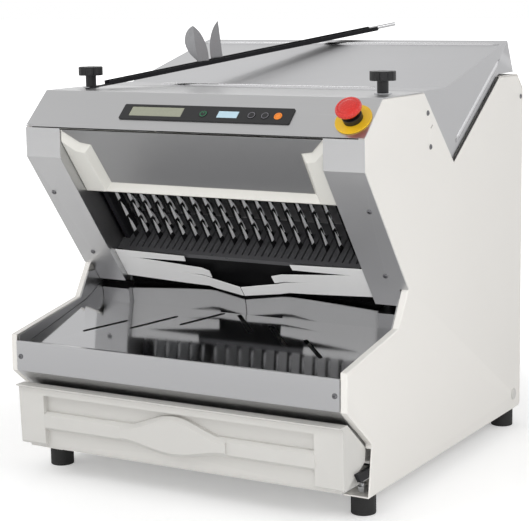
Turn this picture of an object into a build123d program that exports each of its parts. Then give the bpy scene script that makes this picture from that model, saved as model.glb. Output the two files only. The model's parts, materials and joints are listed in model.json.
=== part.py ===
from build123d import *
import math
import os

os.makedirs("parts", exist_ok=True)

# Driving sizes in millimetres: the width is assumed, and what the photograph shows follows it at that width
WIDTH = 600.0
BODY_DEPTH = 674.6
FRONT_Y = -273.0
HOOD_Z = 614.0
SHEET = 1.5
PANEL_SHEET = 2.0
PANEL_FLANGE = 11.0
FOOT_FLANGE = 42.0
COLUMN_WIDTH = 66.6
SLICE = 12.0
BLADE_WIDTH = 12.0
BLADE_THICK = 0.8
TOOTH_PITCH = 18.0
TOOTH_DEPTH = 1.6
CRANK_THROW = 10.0
DRAWER_TRAY_HEIGHT = 88.0
DRAWER_WALL = 3.0
LID_RISE = 64.0
RIDGE_Y = 337.0
HEAD_RADIUS = 20.0
KNOB_RADIUS = 20.0

# Clearances between mating pieces
SEAT = 0.15
SLIDE_FIT = 0.5
TABLE_FIT = 0.2
CHEEK_GAP = 0.8
BLADE_GAP = 4.0
KEY_FIT = 0.35
PIN_FIT = 0.3

HALF = WIDTH / 2
INNER = HALF - PANEL_SHEET
MOUTH = HALF - COLUMN_WIDTH
REAR_Y = FRONT_Y + BODY_DEPTH
RIDGE_Z = HOOD_Z + LID_RISE

# Bent front profile, as (y, z) corners
LIP_TOP = (-213.6, 560.6)
HOOD_EDGE = (-155.5, HOOD_Z)
BEND = (-213.6, 512.4)
KNEE = (-68.5, 319.7)
HORN_ROOT = (-101.1, 265.7)
HORN_TOP = (-271.0, 234.6)
HORN_LOW = (-272.0, 176.3)
STEP = (-192.2, 110.9)
TOE = (-203.3, 31.0)
VEE_TOP = (-10.0, HOOD_Z - 2)
VEE = (105.2, 494.7)
VEE_REAR = (294.0, 618.0)

# Tilted frame of the slicing plane: x across, y down the blades, z into the machine
TILT_COS = 0.6007
TILT_SIN = 0.7995
CUT = Plane(origin=(0, BEND[0], BEND[1]), x_dir=(1, 0, 0), z_dir=(0, TILT_SIN, TILT_COS)).location
MOUTH_TOP = 88.0
GRID_S = 219.0
SKIRT_END = 299.0
COLUMN_END = 280.0
FRAME_TOP = 26.0
FRAME_END = 330.0
FRAME_BAR = 18.0
FRAME_DEPTH = 12.0
FRAME_A_N = 45.0
FRAME_B_N = 63.0
FRAME_HALF = MOUTH - 2.4
FRAME_SIDE = 10.0
BLADE_PAIRS = int((FRAME_HALF - FRAME_SIDE - BLADE_GAP) / SLICE + 0.5)
BLADE_COUNT = 2 * BLADE_PAIRS
PIN_S = 362.0
PIN_N = 60.0
CRANK_S = 445.0
RING_BORE = 31.0
RING_WALL = 6.0
ROD_X = 40.0
PLATE_X = MOUTH + 4.6
PLATE_T = 3.0

# Frame of the sloping control panel: x across, y up the slope, z outward
SLOPE = math.hypot(HOOD_EDGE[0] - LIP_TOP[0], HOOD_EDGE[1] - LIP_TOP[1])
RISE = ((HOOD_EDGE[0] - LIP_TOP[0]) / SLOPE, (HOOD_EDGE[1] - LIP_TOP[1]) / SLOPE)
FACE = Plane(origin=(0, LIP_TOP[0], LIP_TOP[1]), x_dir=(1, 0, 0), z_dir=(0, -RISE[1], RISE[0])).location

# Table, apron and drawer
LIP_Z = 225.5
LIP_DEPTH = 6.0
TABLE_FRONT_Z = 210.5
TABLE_GRADE = 0.262
TABLE_BEND_Y = -84.0
RAMP_GRADE = 0.5
TABLE_REAR_Y = -30.0
APRON_LOW_Z = 177.0
TABLE_HALF = HALF - PANEL_FLANGE - SLIDE_FIT
CHEEK_OUT = TABLE_HALF - TABLE_FIT
CHEEK_IN = CHEEK_OUT - SHEET
COLUMN_LOW = CHEEK_IN - CHEEK_GAP
SLOT_WIDTH = 7.0
SLOTS = ((216.7, -192.6, 162.5, -142.9), (142.3, -167.4, 85.6, -111.9), (65.5, -139.2, 12.9, -86.5))
DRAWER_HALF = HALF - 19.0
DRAWER_FRONT_HALF = HALF - 9.0
DRAWER_BOTTOM = 50.0
DRAWER_BACK_Y = 240.0
RUNNER_TOP = 80.0

# Feet
FOOT_X = HALF - 22.0
FOOT_FRONT_Y = -178.0
FOOT_REAR_Y = REAR_Y - 29.0
FOOT_RADIUS = 20.0
FLANGE_Z = 31.0

# Emergency stop, knobs and hinge
STOP_X = HALF - 30.0
STOP_T = 35.0
KNOB_X = HALF - 35.0
KNOB_Y = -82.0
HINGE_Y = REAR_Y - 31.6
HINGE_Z = HOOD_Z + 14.0
HINGE_RADIUS = 5.0
BEARING_X = PLATE_X + PLATE_T


def box(x0, x1, y0, y1, z0, z1):
    """Box between two corners."""
    size = (x1 - x0, y1 - y0, z1 - z0)
    return Pos((x0 + x1) / 2, (y0 + y1) / 2, (z0 + z1) / 2) * Box(*size)


def prism(points, x0, x1):
    """Solid between two x values over corners given as (y, z)."""
    wire = Polyline([(x0, y, z) for y, z in points], close=True)
    return extrude(make_face(wire), x1 - x0, dir=(1, 0, 0))


def slab(points, z0, z1):
    """Solid between two z values over corners given as (x, y)."""
    wire = Polyline([(x, y, z0) for x, y in points], close=True)
    return extrude(make_face(wire), z1 - z0, dir=(0, 0, 1))


def rod_z(x, y, z0, z1, radius):
    """Upright cylinder."""
    return Pos(x, y, (z0 + z1) / 2) * Cylinder(radius, z1 - z0)


def rod_x(x0, x1, y, z, radius):
    """Cylinder along x."""
    return Pos((x0 + x1) / 2, y, z) * Rot(0, 90, 0) * Cylinder(radius, x1 - x0)


def offset_path(points, distance, closed=False):
    """Corners moved sideways by a distance, to the left of the way they run."""
    count = len(points)
    moved = []
    for i in range(count):
        here = points[i]
        before = points[i - 1] if closed or i > 0 else None
        after = points[(i + 1) % count] if closed or i < count - 1 else None
        normals = []
        for first, second in ((before, here), (here, after)):
            if first is None or second is None:
                continue
            length = math.hypot(second[0] - first[0], second[1] - first[1])
            normals.append((-(second[1] - first[1]) / length, (second[0] - first[0]) / length))
        ny = sum(n[0] for n in normals) / len(normals)
        nz = sum(n[1] for n in normals) / len(normals)
        scale = distance / (ny * ny + nz * nz)
        moved.append((here[0] + ny * scale, here[1] + nz * scale))
    return moved


def bent(points, thick, x0, x1):
    """Bent sheet: a path of (y, z) corners thickened to its left."""
    inner = offset_path(points, thick)
    return prism(list(points) + inner[::-1], x0, x1)


def both(part):
    """The part and its mirror image."""
    return [part, mirror(part, about=Plane.YZ)]


def group(parts):
    """Separate solids kept together as one item."""
    solids = []
    for part in parts:
        solids.extend(part.solids())
    return Compound(solids)


def blade_positions():
    """Centre of each blade across the machine."""
    first = -SLICE * (BLADE_COUNT - 1) / 2
    return [first + SLICE * i for i in range(BLADE_COUNT)]


def cut_point(s, n):
    """Machine (y, z) of a point given down the blades and into the machine."""
    return (BEND[0] + TILT_COS * s + TILT_SIN * n, BEND[1] - TILT_SIN * s + TILT_COS * n)


def table_z(y):
    """Height of the table's top face: a slotted flat, then a steeper ramp up to the blades."""
    flat = min(y, TABLE_BEND_Y)
    return TABLE_FRONT_Z + TABLE_GRADE * (flat - FRONT_Y) + RAMP_GRADE * (y - flat)


# Side panels
SIDE_SCREWS = ((1.4, 580.6), (11.9, 528.3), (REAR_Y - 13, 580.6))


def panel_outline():
    """Outer outline of a side panel."""
    lip = (LIP_TOP[0] + 2.2, LIP_TOP[1] - 0.6)
    edge = (HOOD_EDGE[0] + 1.2, HOOD_Z - 2)
    bend = (BEND[0] + 2.3, BEND[1] + 1.0)
    knee = (KNEE[0] + 1.6, KNEE[1] + 1.1)
    rear = [(REAR_Y - 2, TOE[1]), (REAR_Y - 4.5, 594.6), (REAR_Y - 29.5, HOOD_Z + 4), VEE_REAR]
    front = [VEE, VEE_TOP, edge, lip, bend, knee, HORN_ROOT, HORN_TOP, HORN_LOW, STEP, TOE]
    return rear + front


def right_side_panel():
    """Folded sheet side with a flange all round and a foot flange at its base."""
    outline = panel_outline()
    inside = offset_path(outline, PANEL_SHEET, closed=True)
    shell = prism(outline, HALF - PANEL_FLANGE, HALF)
    edges = shell.faces().sort_by(Axis.X)[-1].edges()
    shell = chamfer(edges, 1.4)
    shell -= prism(inside, HALF - PANEL_FLANGE, INNER)
    shell -= box(HALF - PANEL_FLANGE - 1, INNER, TOE[0] - 5, STEP[0] + 4, FLANGE_Z + PANEL_SHEET, 104)
    shell += box(HALF - FOOT_FLANGE, INNER + 0.5, TOE[0], REAR_Y - 2, FLANGE_Z, FLANGE_Z + PANEL_SHEET)
    shell -= rod_z(FOOT_X, FOOT_FRONT_Y, 20, 40, 5.5)
    shell -= rod_z(FOOT_X, FOOT_REAR_Y, 20, 40, 5.5)
    shell -= rod_x(INNER - 5, HALF + 5, 370.9, 57.8, 8.4)
    for y, z in SIDE_SCREWS:
        shell -= rod_x(INNER - 5, HALF + 5, y, z, 3.4)
    shell -= Pos(HALF, 16.5, 558.8) * Rot(35, 0, 0) * Box(10, 9, 2.4)
    return shell


def hole_plugs():
    """Push-in plugs low on both sides."""
    disc = rod_x(HALF + 0.05, HALF + 1.8, 370.9, 57.8, 10)
    disc = chamfer(disc.edges().filter_by(GeomType.CIRCLE).sort_by(Axis.X)[-1], 1.0)
    return group(both(disc + rod_x(HALF - 7, HALF + 0.1, 370.9, 57.8, 8)))


# Feet and base
def rubber_feet():
    """Four rubber feet with a recess for the bolt head."""
    feet = []
    for y in (FOOT_FRONT_Y, FOOT_REAR_Y):
        foot = rod_z(FOOT_X, y, 0, FLANGE_Z - 2.2, FOOT_RADIUS - 1)
        foot -= rod_z(FOOT_X, y, -1, 10, 10.5)
        foot -= rod_z(FOOT_X, y, 9, FLANGE_Z, 5.4)
        feet += both(foot)
    return group(feet)


def foot_bolts():
    """Bolt, washer and nut of each foot."""
    bolts = []
    for y in (FOOT_FRONT_Y, FOOT_REAR_Y):
        bolt = Pos(FOOT_X, y, 6.8) * extrude(RegularPolygon(9, 6), 3)
        bolt += rod_z(FOOT_X, y, 9.5, 46, 5)
        bolt += rod_z(FOOT_X, y, FLANGE_Z - 2, FLANGE_Z - SEAT, 12)
        bolt += Pos(FOOT_X, y, FLANGE_Z + PANEL_SHEET + SEAT) * extrude(RegularPolygon(9, 6), 8)
        bolts += both(bolt)
    return group(bolts)


def cross_beams():
    """Square tubes that tie the two sides together."""
    beams = []
    for y in (-120.0, 300.0):
        tube = box(-INNER + SEAT, INNER - SEAT, y, y + 30, 145, 165)
        tube -= box(-INNER - 1, INNER + 1, y + 2, y + 28, 147, 163)
        beams.append(tube)
    return group(beams)


def chassis_plates():
    """Inner plates that carry guides, shaft, motor and pusher rods."""
    points = [(-126, 165.3), (-126, 214), (-26, 232), (-26, 262), cut_point(290, 27), cut_point(266, 27)]
    points += [cut_point(266, 7), cut_point(14, 7), (-198, 552), (-140, 598), (-18, 598)]
    points += [(VEE[0], VEE[1] - 4), (288, HOOD_Z - 4), (REAR_Y - 32, HOOD_Z - 4), (REAR_Y - 12, 165.3)]
    plate = prism(points, PLATE_X, PLATE_X + PLATE_T)
    shaft_y, shaft_z = cut_point(CRANK_S, PIN_N)
    plate -= rod_x(PLATE_X - 5, PLATE_X + 10, shaft_y, shaft_z, 14.2)
    plate -= rod_x(PLATE_X - 5, PLATE_X + 10, 290, 262, 14)
    plate -= box(PLATE_X - 5, PLATE_X + 10, 190, 340, 380, 470)
    return group(both(plate))


# Hood, columns and guard
def front_hood():
    """Sheet hood with flat top and sloping control face."""
    path = [(LIP_TOP[0] + 14, LIP_TOP[1]), LIP_TOP, HOOD_EDGE, (VEE_TOP[0] - 2, HOOD_Z)]
    hood = bent(path, -SHEET, -HALF, HALF)
    for part in both(box(HALF - PANEL_FLANGE - 1, HALF + 1, LIP_TOP[0] + SHEET + 0.3, -190, 550, LIP_TOP[1] + 2)):
        hood -= part
    hood -= FACE * box(-127, 166, 26, 47, -5, 5)
    hood -= FACE * rod_z(STOP_X, STOP_T, -5, 5, 11.4)
    for x in (-KNOB_X, KNOB_X):
        hood -= rod_z(x, KNOB_Y, HOOD_Z - 5, HOOD_Z + 5, 4.5)
    return hood


def right_column():
    """Sheet column: upright band, sloping face and inner side wall."""
    end = cut_point(COLUMN_END, 0)
    path = [end, BEND, (LIP_TOP[0], LIP_TOP[1] - SHEET - SEAT)]
    face = bent(path, -SHEET, MOUTH, HALF)
    below = box(COLUMN_LOW, HALF + 1, 241.5, COLUMN_END + 5, -3, 60)
    face -= CUT * below
    wall = [end, BEND, path[2], (LIP_TOP[0] + 34, path[2][1]), cut_point(10, 40), cut_point(COLUMN_END, 40)]
    column = face + prism(wall, MOUTH, MOUTH + SHEET)
    column += CUT * box(MOUTH, COLUMN_LOW, COLUMN_END - SHEET, COLUMN_END, 0, 24)
    for x, s in SCREW_SPOTS:
        column -= CUT * rod_z(x, s, -3, 5, 2.8)
    return column


SCREW_SPOTS = ((HALF - 16.0, 78.0), (HALF - 30.0, 214.0))


def guard_liner():
    """Moulded upper guard with a flared pocket for the steel plate."""
    wide = MOUTH - SLIDE_FIT
    liner = box(-wide, wide, -40, MOUTH_TOP, 17.5, 31.5)
    pocket = make_face(Polyline(guard_points(0, 11.5), close=True))
    liner -= Pos(0, 0, 29) * extrude(pocket, -14, taper=-40)
    liner = CUT * liner
    liner -= box(-WIDTH, WIDTH, -300, LIP_TOP[0] + SHEET + 0.5, 0, 800)
    liner -= box(-WIDTH, WIDTH, -300, 0, LIP_TOP[1] - SHEET - 0.5, 800)
    return liner


def guard_points(gap, lower):
    """Corners of the steel plate behind the mouth's upper edge, as (x, s)."""
    foot = MOUTH_TOP - lower - gap
    right = [(MOUTH - 48 - gap, foot), (MOUTH - 45 - gap, -4 - gap), (MOUTH - 25 - gap, -8 - gap)]
    right += [(MOUTH - 2 - gap, -31 - gap), (MOUTH - 2 - gap, -60)]
    return right + [(-x, s) for x, s in right[::-1]]


def guard_plate():
    """Polished plate in the guard's pocket."""
    plate = extrude(make_face(Polyline(guard_points(1.2, 11.5), close=True)), 1.5)
    plate = CUT * (Pos(0, 0, 27.4) * plate)
    plate -= box(-WIDTH, WIDTH, -300, LIP_TOP[0] + SHEET + 0.5, 0, 800)
    plate -= box(-WIDTH, WIDTH, -300, 0, LIP_TOP[1] - SHEET - 0.5, 800)
    return plate


# Controls on the sloping face
KEY_SPOTS = (("power_key", 18.0), ("minus_key", 102.0), ("plus_key", 125.0), ("stop_key", 147.0))
KEY_T = 35.5
KEY_RADIUS = 6.5


def display_bezel():
    """Black strip around the display and the keys."""
    strip = box(-131, 170, 21, 52, SEAT, 2.2)
    strip = chamfer(strip.edges().filter_by(Axis.Z), 2)
    strip = chamfer(strip.faces().sort_by(Axis.Z)[-1].edges(), 0.6)
    strip -= box(-115, -20, 28, 47, -1, 5)
    for name, x in KEY_SPOTS:
        strip -= rod_z(x, KEY_T, -1, 5, KEY_RADIUS + KEY_FIT)
    return FACE * strip


def lcd_window():
    """Display window."""
    pane = box(-115 + SEAT, -20 - SEAT, 28 + SEAT, 47 - SEAT, -1.5, 1.6)
    return FACE * pane


def key(x):
    """Round push key."""
    cap = rod_z(x, KEY_T, -2.6, 2.9, KEY_RADIUS)
    return FACE * cap


def control_box():
    """Housing behind the display."""
    case = box(-126, 165, 26.4, 46.6, -18, -3.6)
    case += box(-126, 165, 26.4, 28, -3.7, -SHEET - SEAT)
    case += box(-126, 165, 45, 46.6, -3.7, -SHEET - SEAT)
    case += box(-126, 165, 20, 53, -5.6, -SHEET - SEAT) - box(-127, 166, 26.5, 46.5, -3.6, 0)
    return FACE * case


def stop_ring():
    """Yellow backing disc of the emergency stop."""
    disc = rod_z(STOP_X, STOP_T, SEAT, 2.0, 28)
    disc -= rod_z(STOP_X, STOP_T, -1, 5, 11.4)
    return FACE * disc


def stop_body():
    """Collar, barrel, nut and contact block of the emergency stop."""
    body = rod_z(STOP_X, STOP_T, 2.0 + SEAT, 11, 15)
    body += rod_z(STOP_X, STOP_T, -16, 3, 11)
    body += rod_z(STOP_X, STOP_T, -6, -SHEET - SEAT, 15)
    body += box(STOP_X - 15, STOP_X + 15, STOP_T - 14, STOP_T + 14, -40, -15)
    body -= rod_z(STOP_X, STOP_T, -8, 12, 9.4)
    return FACE * body


def stop_stem():
    """Plunger of the emergency stop."""
    stem = rod_z(STOP_X, STOP_T, -2, 17, 9)
    stem -= rod_z(STOP_X, STOP_T, 9, 18, 5.3)
    return FACE * stem


def stop_head():
    """Mushroom head with three raised turning marks."""
    rim = [(0, 17.2), (HEAD_RADIUS, 17.2), (HEAD_RADIUS, 25.5), (HEAD_RADIUS - 5, 31), (0, 31)]
    profile = make_face(Polyline([(r, 0, z) for r, z in rim], close=True))
    head = Pos(STOP_X, STOP_T, 0) * revolve(profile, axis=Axis.Z)
    for turn in (0, 120, 240):
        mark = Pos(STOP_X, STOP_T, 30.8) * Rot(0, 0, turn) * arrow_mark()
        head += mark
    head += rod_z(STOP_X, STOP_T, 10, 18, 5)
    return FACE * head


def arrow_mark():
    """Raised curved arrow seen from above."""
    ring = Cylinder(11.2, 1.2) - Cylinder(9.4, 3)
    wedge = extrude(make_face(Polyline([(0, 0), (30, 0), (21.2, 21.2)], close=True)), 4)
    arc = ring & (Pos(0, 0, -2) * wedge)
    tip = extrude(make_face(Polyline([(12.8, 0.5), (7.8, 0.5), (10.3, -4)], close=True)), 1.2)
    return arc + Pos(0, 0, -0.6) * tip


def right_knob():
    """Lobed clamp knob with its stud."""
    outline = Circle(KNOB_RADIUS)
    for i in range(6):
        turn = math.radians(60 * i + 30)
        reach = KNOB_RADIUS + 3
        outline -= Pos(reach * math.cos(turn), reach * math.sin(turn)) * Circle(6)
    lobes = extrude(outline, 14)
    knob = Pos(KNOB_X, KNOB_Y, HOOD_Z + 20) * lobes
    knob += rod_z(KNOB_X, KNOB_Y, HOOD_Z + 1.8, HOOD_Z + 20.5, 8.6)
    knob += rod_z(KNOB_X, KNOB_Y, HOOD_Z - 24, HOOD_Z + 3, 4)
    return knob


def knob_washers():
    """Steel washer under each knob."""
    washer = rod_z(KNOB_X, KNOB_Y, HOOD_Z + SEAT, HOOD_Z + 1.6, 13)
    washer -= rod_z(KNOB_X, KNOB_Y, HOOD_Z - 1, HOOD_Z + 4, 4.5)
    return group(both(washer))


# Loading cover and rear
def cover_path():
    """Top line of the loading cover from front to rear."""
    flat = RIDGE_Y - LID_RISE * 4
    return [(VEE_TOP[0] + 1, HOOD_Z), (flat, HOOD_Z), (RIDGE_Y, RIDGE_Z), (REAR_Y - 36.6, HOOD_Z + 9.5)]


def loading_cover():
    """Sheet cover with side skirts that fill the notch of the side panels."""
    path = cover_path()
    edge = HALF - 5
    skirt = [path[0], path[1], path[2], path[3], (VEE_REAR[0] + 4, HOOD_Z + 9.5)]
    skirt += [(VEE[0] + 0.8, VEE[1] + 4.2), (VEE_TOP[0] + 4, HOOD_Z - 3)]
    body = prism(skirt, -edge, edge)
    body -= prism(cavity_points(skirt), -edge + SHEET, edge - SHEET)
    ridge = [e for e in body.edges().filter_by(Axis.X) if abs(e.center().Z - RIDGE_Z) < 0.1]
    body = fillet(ridge, 4)
    body += cover_ribs(edge)
    return body


def cavity_points(skirt):
    """Inner side of the cover, open below."""
    inner = offset_path(skirt, -SHEET, closed=True)
    low = [(y, z - 20) for y, z in skirt[4:]]
    return [low[2], (inner[0][0], low[2][1])] + inner[0:4] + [(inner[3][0], low[0][1] - 0.5)] + low[0:2]


def cover_ribs(edge):
    """Raised beads on the cover."""
    bead = box(-197, 197, 22, 27, HOOD_Z - 0.5, HOOD_Z + 1.0)
    grade = LID_RISE / (RIDGE_Y - cover_path()[1][0])
    y0 = RIDGE_Y - 28
    z0 = RIDGE_Z - 28 * grade
    rear = prism([(y0, z0 - 0.5), (y0 + 5, z0 + 5 * grade - 0.5), (y0 + 5, z0 + 5 * grade + 1), (y0, z0 + 1)],
                 -edge + 6, edge - 6)
    ribs = bead + rear
    slope = ((VEE_REAR[1] - VEE[1]) / (VEE_REAR[0] - VEE[0]))
    low = (VEE[0] + 16, VEE[1] + 30)
    high = (VEE_REAR[0] + 8, low[1] + slope * (VEE_REAR[0] + 8 - low[0]))
    side = prism([low, high, (high[0], high[1] + 5), (low[0], low[1] + 5)], edge - 0.5, edge + 1)
    for part in both(side):
        ribs += part
    return ribs


def cover_leaves():
    """Hinge leaves on the cover's rear wall."""
    leaves = []
    path = cover_path()
    lean = (path[3][0] - path[2][0], path[3][1] - path[2][1])
    size = math.hypot(*lean)
    up = (-lean[0] / size, -lean[1] / size)
    start = (path[3][0] - 0.1, path[3][1] + 1)
    leaf = bent([start, (start[0] + up[0] * 26, start[1] + up[1] * 26)], -2, 191.5, 208.5)
    knuckle = rod_x(191, 209, HINGE_Y, HINGE_Z, HINGE_RADIUS)
    tie = prism([(start[0], start[1]), (HINGE_Y, HINGE_Z - 3), (HINGE_Y, HINGE_Z + 4),
                 (start[0] + up[0] * 9, start[1] + up[1] * 9)], 191, 209)
    knuckle += tie
    knuckle -= rod_x(150, 250, HINGE_Y, HINGE_Z, 2.0 + PIN_FIT)
    leaves += both(leaf + knuckle)
    return group(leaves)


def cover_hinges():
    """Fixed hinge halves with their pins."""
    hinges = []
    base = box(176, 224, HINGE_Y - 4, HINGE_Y + 6, HOOD_Z + 6 + SEAT, HOOD_Z + 8.2)
    for x0, x1 in ((176, 190.5), (209.5, 224)):
        base += rod_x(x0, x1, HINGE_Y, HINGE_Z, HINGE_RADIUS)
        base += box(x0, x1, HINGE_Y - 4, HINGE_Y + 4, HOOD_Z + 6 + SEAT, HINGE_Z)
    base += rod_x(170, 230, HINGE_Y, HINGE_Z, 2.0)
    hinges += both(base)
    return group(hinges)


def rear_panel():
    """Sheet rear wall with vent slots, inlet cut-out and top shelf."""
    path = [(VEE_REAR[0] + 2, HOOD_Z + 6), (REAR_Y - 28.8, HOOD_Z + 6), (REAR_Y - 2.5, 595.4)]
    path.append((REAR_Y, TOE[1] + 4))
    wall = bent(path, -SHEET, -HALF, HALF)
    for row in range(8):
        z = 420 + row * 14
        wall -= box(-200, -60, REAR_Y - 12, REAR_Y + 5, z, z + 6)
        wall -= box(60, 200, REAR_Y - 12, REAR_Y + 5, z, z + 6)
    wall -= box(-214, -186, REAR_Y - 12, REAR_Y + 5, 90, 112)
    return wall


def power_inlet():
    """Mains inlet socket with three contacts."""
    body = box(-219, -181, REAR_Y + SEAT, REAR_Y + 3.2, 84, 118)
    body += box(-213.5, -186.5, REAR_Y - 24, REAR_Y + 1, 90.5, 111.5)
    body -= box(-211, -189, REAR_Y - 16, REAR_Y + 6, 93, 109)
    for x, z in ((-207, 98), (-200, 104), (-193, 98)):
        body += box(x - 1, x + 1, REAR_Y - 17, REAR_Y - 3, z - 2.5, z + 2.5)
    return body


# Table, cheeks and apron
def slotted_table():
    """Bent sheet: bevel, apron with a folded lip, slotted flat and the ramp up to the blades."""
    inside = FRONT_Y + LIP_DEPTH
    path = [(-230, 141.6), (FRONT_Y, APRON_LOW_Z), (FRONT_Y, LIP_Z), (inside, LIP_Z), (inside, table_z(inside))]
    path += [(TABLE_BEND_Y, table_z(TABLE_BEND_Y)), (TABLE_REAR_Y, table_z(TABLE_REAR_Y))]
    path.append((TABLE_REAR_Y + 2, table_z(TABLE_REAR_Y) - 14))
    table = bent(path, -SHEET, -TABLE_HALF, TABLE_HALF)
    for x0, y0, x1, y1 in SLOTS:
        for side in (-1, 1):
            cutter = slot_cutter(side * x0, y0, side * x1, y1)
            table -= cutter
    for x in (-1, 1):
        table -= Pos(x * (TABLE_HALF - 8), FRONT_Y, 200) * Rot(90, 0, 0) * Cylinder(2.8, 10)
    return table


def slot_cutter(x0, y0, x1, y1):
    """Upright round-ended slot between two points."""
    length = math.hypot(x1 - x0, y1 - y0)
    turn = math.degrees(math.atan2(y1 - y0, x1 - x0))
    shape = extrude(SlotCenterToCenter(length - SLOT_WIDTH, SLOT_WIDTH), 60)
    return Pos((x0 + x1) / 2, (y0 + y1) / 2, 215) * Rot(0, 0, turn) * shape


def table_cheeks():
    """Upright side plates between table and side panels."""
    front = FRONT_Y + LIP_DEPTH + 0.4
    points = [(front, table_z(front) + 0.4), (front, HORN_TOP[1] - 2), (HORN_ROOT[0], HORN_ROOT[1] - 1.5)]
    points += [(-76, 305), (TABLE_REAR_Y, 305), (TABLE_REAR_Y, table_z(TABLE_REAR_Y) + 0.4)]
    points.append((TABLE_BEND_Y, table_z(TABLE_BEND_Y) + 0.4))
    cheek = prism(points, CHEEK_IN, CHEEK_OUT)
    return group(both(cheek))


# Drawer
def crumb_drawer():
    """Moulded drawer with posts, grip bar and bulged grip."""
    side = [(-268, 149), (-275.5, 152.6), (-275.5, 154), (-254, 154), (-200, 109.5), (-197, 101)]
    side += [(-199, 84.5), (-262, 56), (-265, 60)]
    front = prism(side, -DRAWER_FRONT_HALF, DRAWER_FRONT_HALF)
    front -= prism(hollow_points(), -DRAWER_HALF + DRAWER_WALL, DRAWER_HALF - DRAWER_WALL)
    front -= box(-243, 243, -290, -256, 40, 139)
    front += box(-244, 244, -256.2, -252, DRAWER_BOTTOM + 4, 142)
    front += grip_bar()
    top = DRAWER_BOTTOM + DRAWER_TRAY_HEIGHT
    tray = box(-DRAWER_HALF, DRAWER_HALF, -254, DRAWER_BACK_Y, DRAWER_BOTTOM, top)
    tray -= box(-DRAWER_HALF + DRAWER_WALL, DRAWER_HALF - DRAWER_WALL, -252 + SHEET, DRAWER_BACK_Y - DRAWER_WALL,
                DRAWER_BOTTOM + DRAWER_WALL, top + 50)
    drawer = front + tray
    for part in both(box(DRAWER_HALF - 0.5, HALF - 6, -190, DRAWER_BACK_Y, RUNNER_TOP + 0.3, RUNNER_TOP + 4)):
        drawer += part
    return drawer


def hollow_points():
    """Space behind the drawer's front wall, as (y, z)."""
    return [(-252, 58), (-252, 160), (-180, 160), (-180, 58)]


def grip_bar():
    """Horizontal bar with a smooth bulge in the middle."""
    bar = box(-244, 244, -267, -254, 82, 112)
    bar = chamfer(bar.edges().filter_by(Axis.X).group_by(Axis.Y)[0], 5)
    return bar + grip_bulge()


def grip_bulge():
    """Swelling of the grip bar, faded into it at both ends."""
    steps = 16
    lower = []
    upper = []
    for i in range(steps + 1):
        x = -95 + 190 * i / steps
        swell = 0.5 + 0.5 * math.cos(math.pi * x / 95)
        lower.append((x, 84 - 13 * swell))
        upper.append((x, 110 + 24 * swell))
    outline = Spline([(x, 0, z) for x, z in lower])
    outline += Polyline([(95, 0, 84), (95, 0, 110)])
    outline += Spline([(x, 0, z) for x, z in upper[::-1]])
    outline += Polyline([(-95, 0, 110), (-95, 0, 84)])
    body = extrude(make_face(outline), 17, dir=(0, -1, 0))
    rim = body.faces().sort_by(Axis.Y)[0].edges().filter_by(GeomType.BSPLINE)
    return Pos(0, -253.5, 0) * chamfer(rim, 6)


def drawer_runners():
    """Angle runners that carry the drawer."""
    rail = box(HALF - 17, INNER - SEAT, -190, DRAWER_BACK_Y + 20, RUNNER_TOP - 3, RUNNER_TOP)
    rail += box(INNER - 3, INNER - SEAT, -190, DRAWER_BACK_Y + 20, RUNNER_TOP - 18, RUNNER_TOP)
    nose = [(-236, RUNNER_TOP - 4), (-188, RUNNER_TOP - 4), (-188, RUNNER_TOP - 18), (-226, RUNNER_TOP - 18)]
    rail += prism(nose, DRAWER_FRONT_HALF + SLIDE_FIT, INNER - SEAT)
    return group(both(rail))


# Bread fingers
def right_fingers():
    """Flexible sheet cut into three fingers, the lowest bent forward."""
    edge = MOUTH - 0.3
    strip_path = [(edge, 11.0), (75.0, 11.0), (1.0, -6.0)]
    inner = offset_path(strip_path, -1.5)
    strip = extrude(make_face(Polyline([(x, 0, n) for x, n in strip_path + inner[::-1]], close=True)), 400,
                    dir=(0, 1, 0))
    outline = [(edge + 4, 216), (98, 220), (99.5, 231.5), (202, 232.4), (57.5, 246), (58.5, 261.5)]
    outline += [(120, 258.5), (60, 264.5), (-4, 264), (-4, 283.5), (60, 287), (118, 284.5), (edge + 4, 277)]
    return CUT * (strip & slab(outline, -20, 20))


def finger_clamps():
    """Angle strips that hold the finger sheets to the columns."""
    foot = box(MOUTH - 14, MOUTH - SEAT, 218, 271, 12.7, 15.7)
    return group(both(CUT * foot))


# Support grid
def support_grid():
    """Slotted grid that carries the loaf through the blades, with its front skirt."""
    wide = MOUTH - SLIDE_FIT
    grid = box(-wide, wide, GRID_S, GRID_S + 8, 16, 106)
    cutters = [box(x - 1.5, x + 1.5, GRID_S - 1, GRID_S + 9, 24, 82) for x in blade_positions()]
    for side in (-1, 1):
        near = side * (FRAME_HALF - FRAME_SIDE - 1.5)
        cutters.append(box(min(near, side * HALF), max(near, side * HALF), GRID_S - 1, GRID_S + 9, 42, 78))
    grid -= cutters
    grid += box(-wide, wide, GRID_S + 7.5, SKIRT_END, 18, 21)
    holes = [box(x - 2, x + 2, SKIRT_END - 5.5, SKIRT_END - 2, 15, 25) for x in blade_positions()]
    grid -= holes
    return CUT * grid


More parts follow.
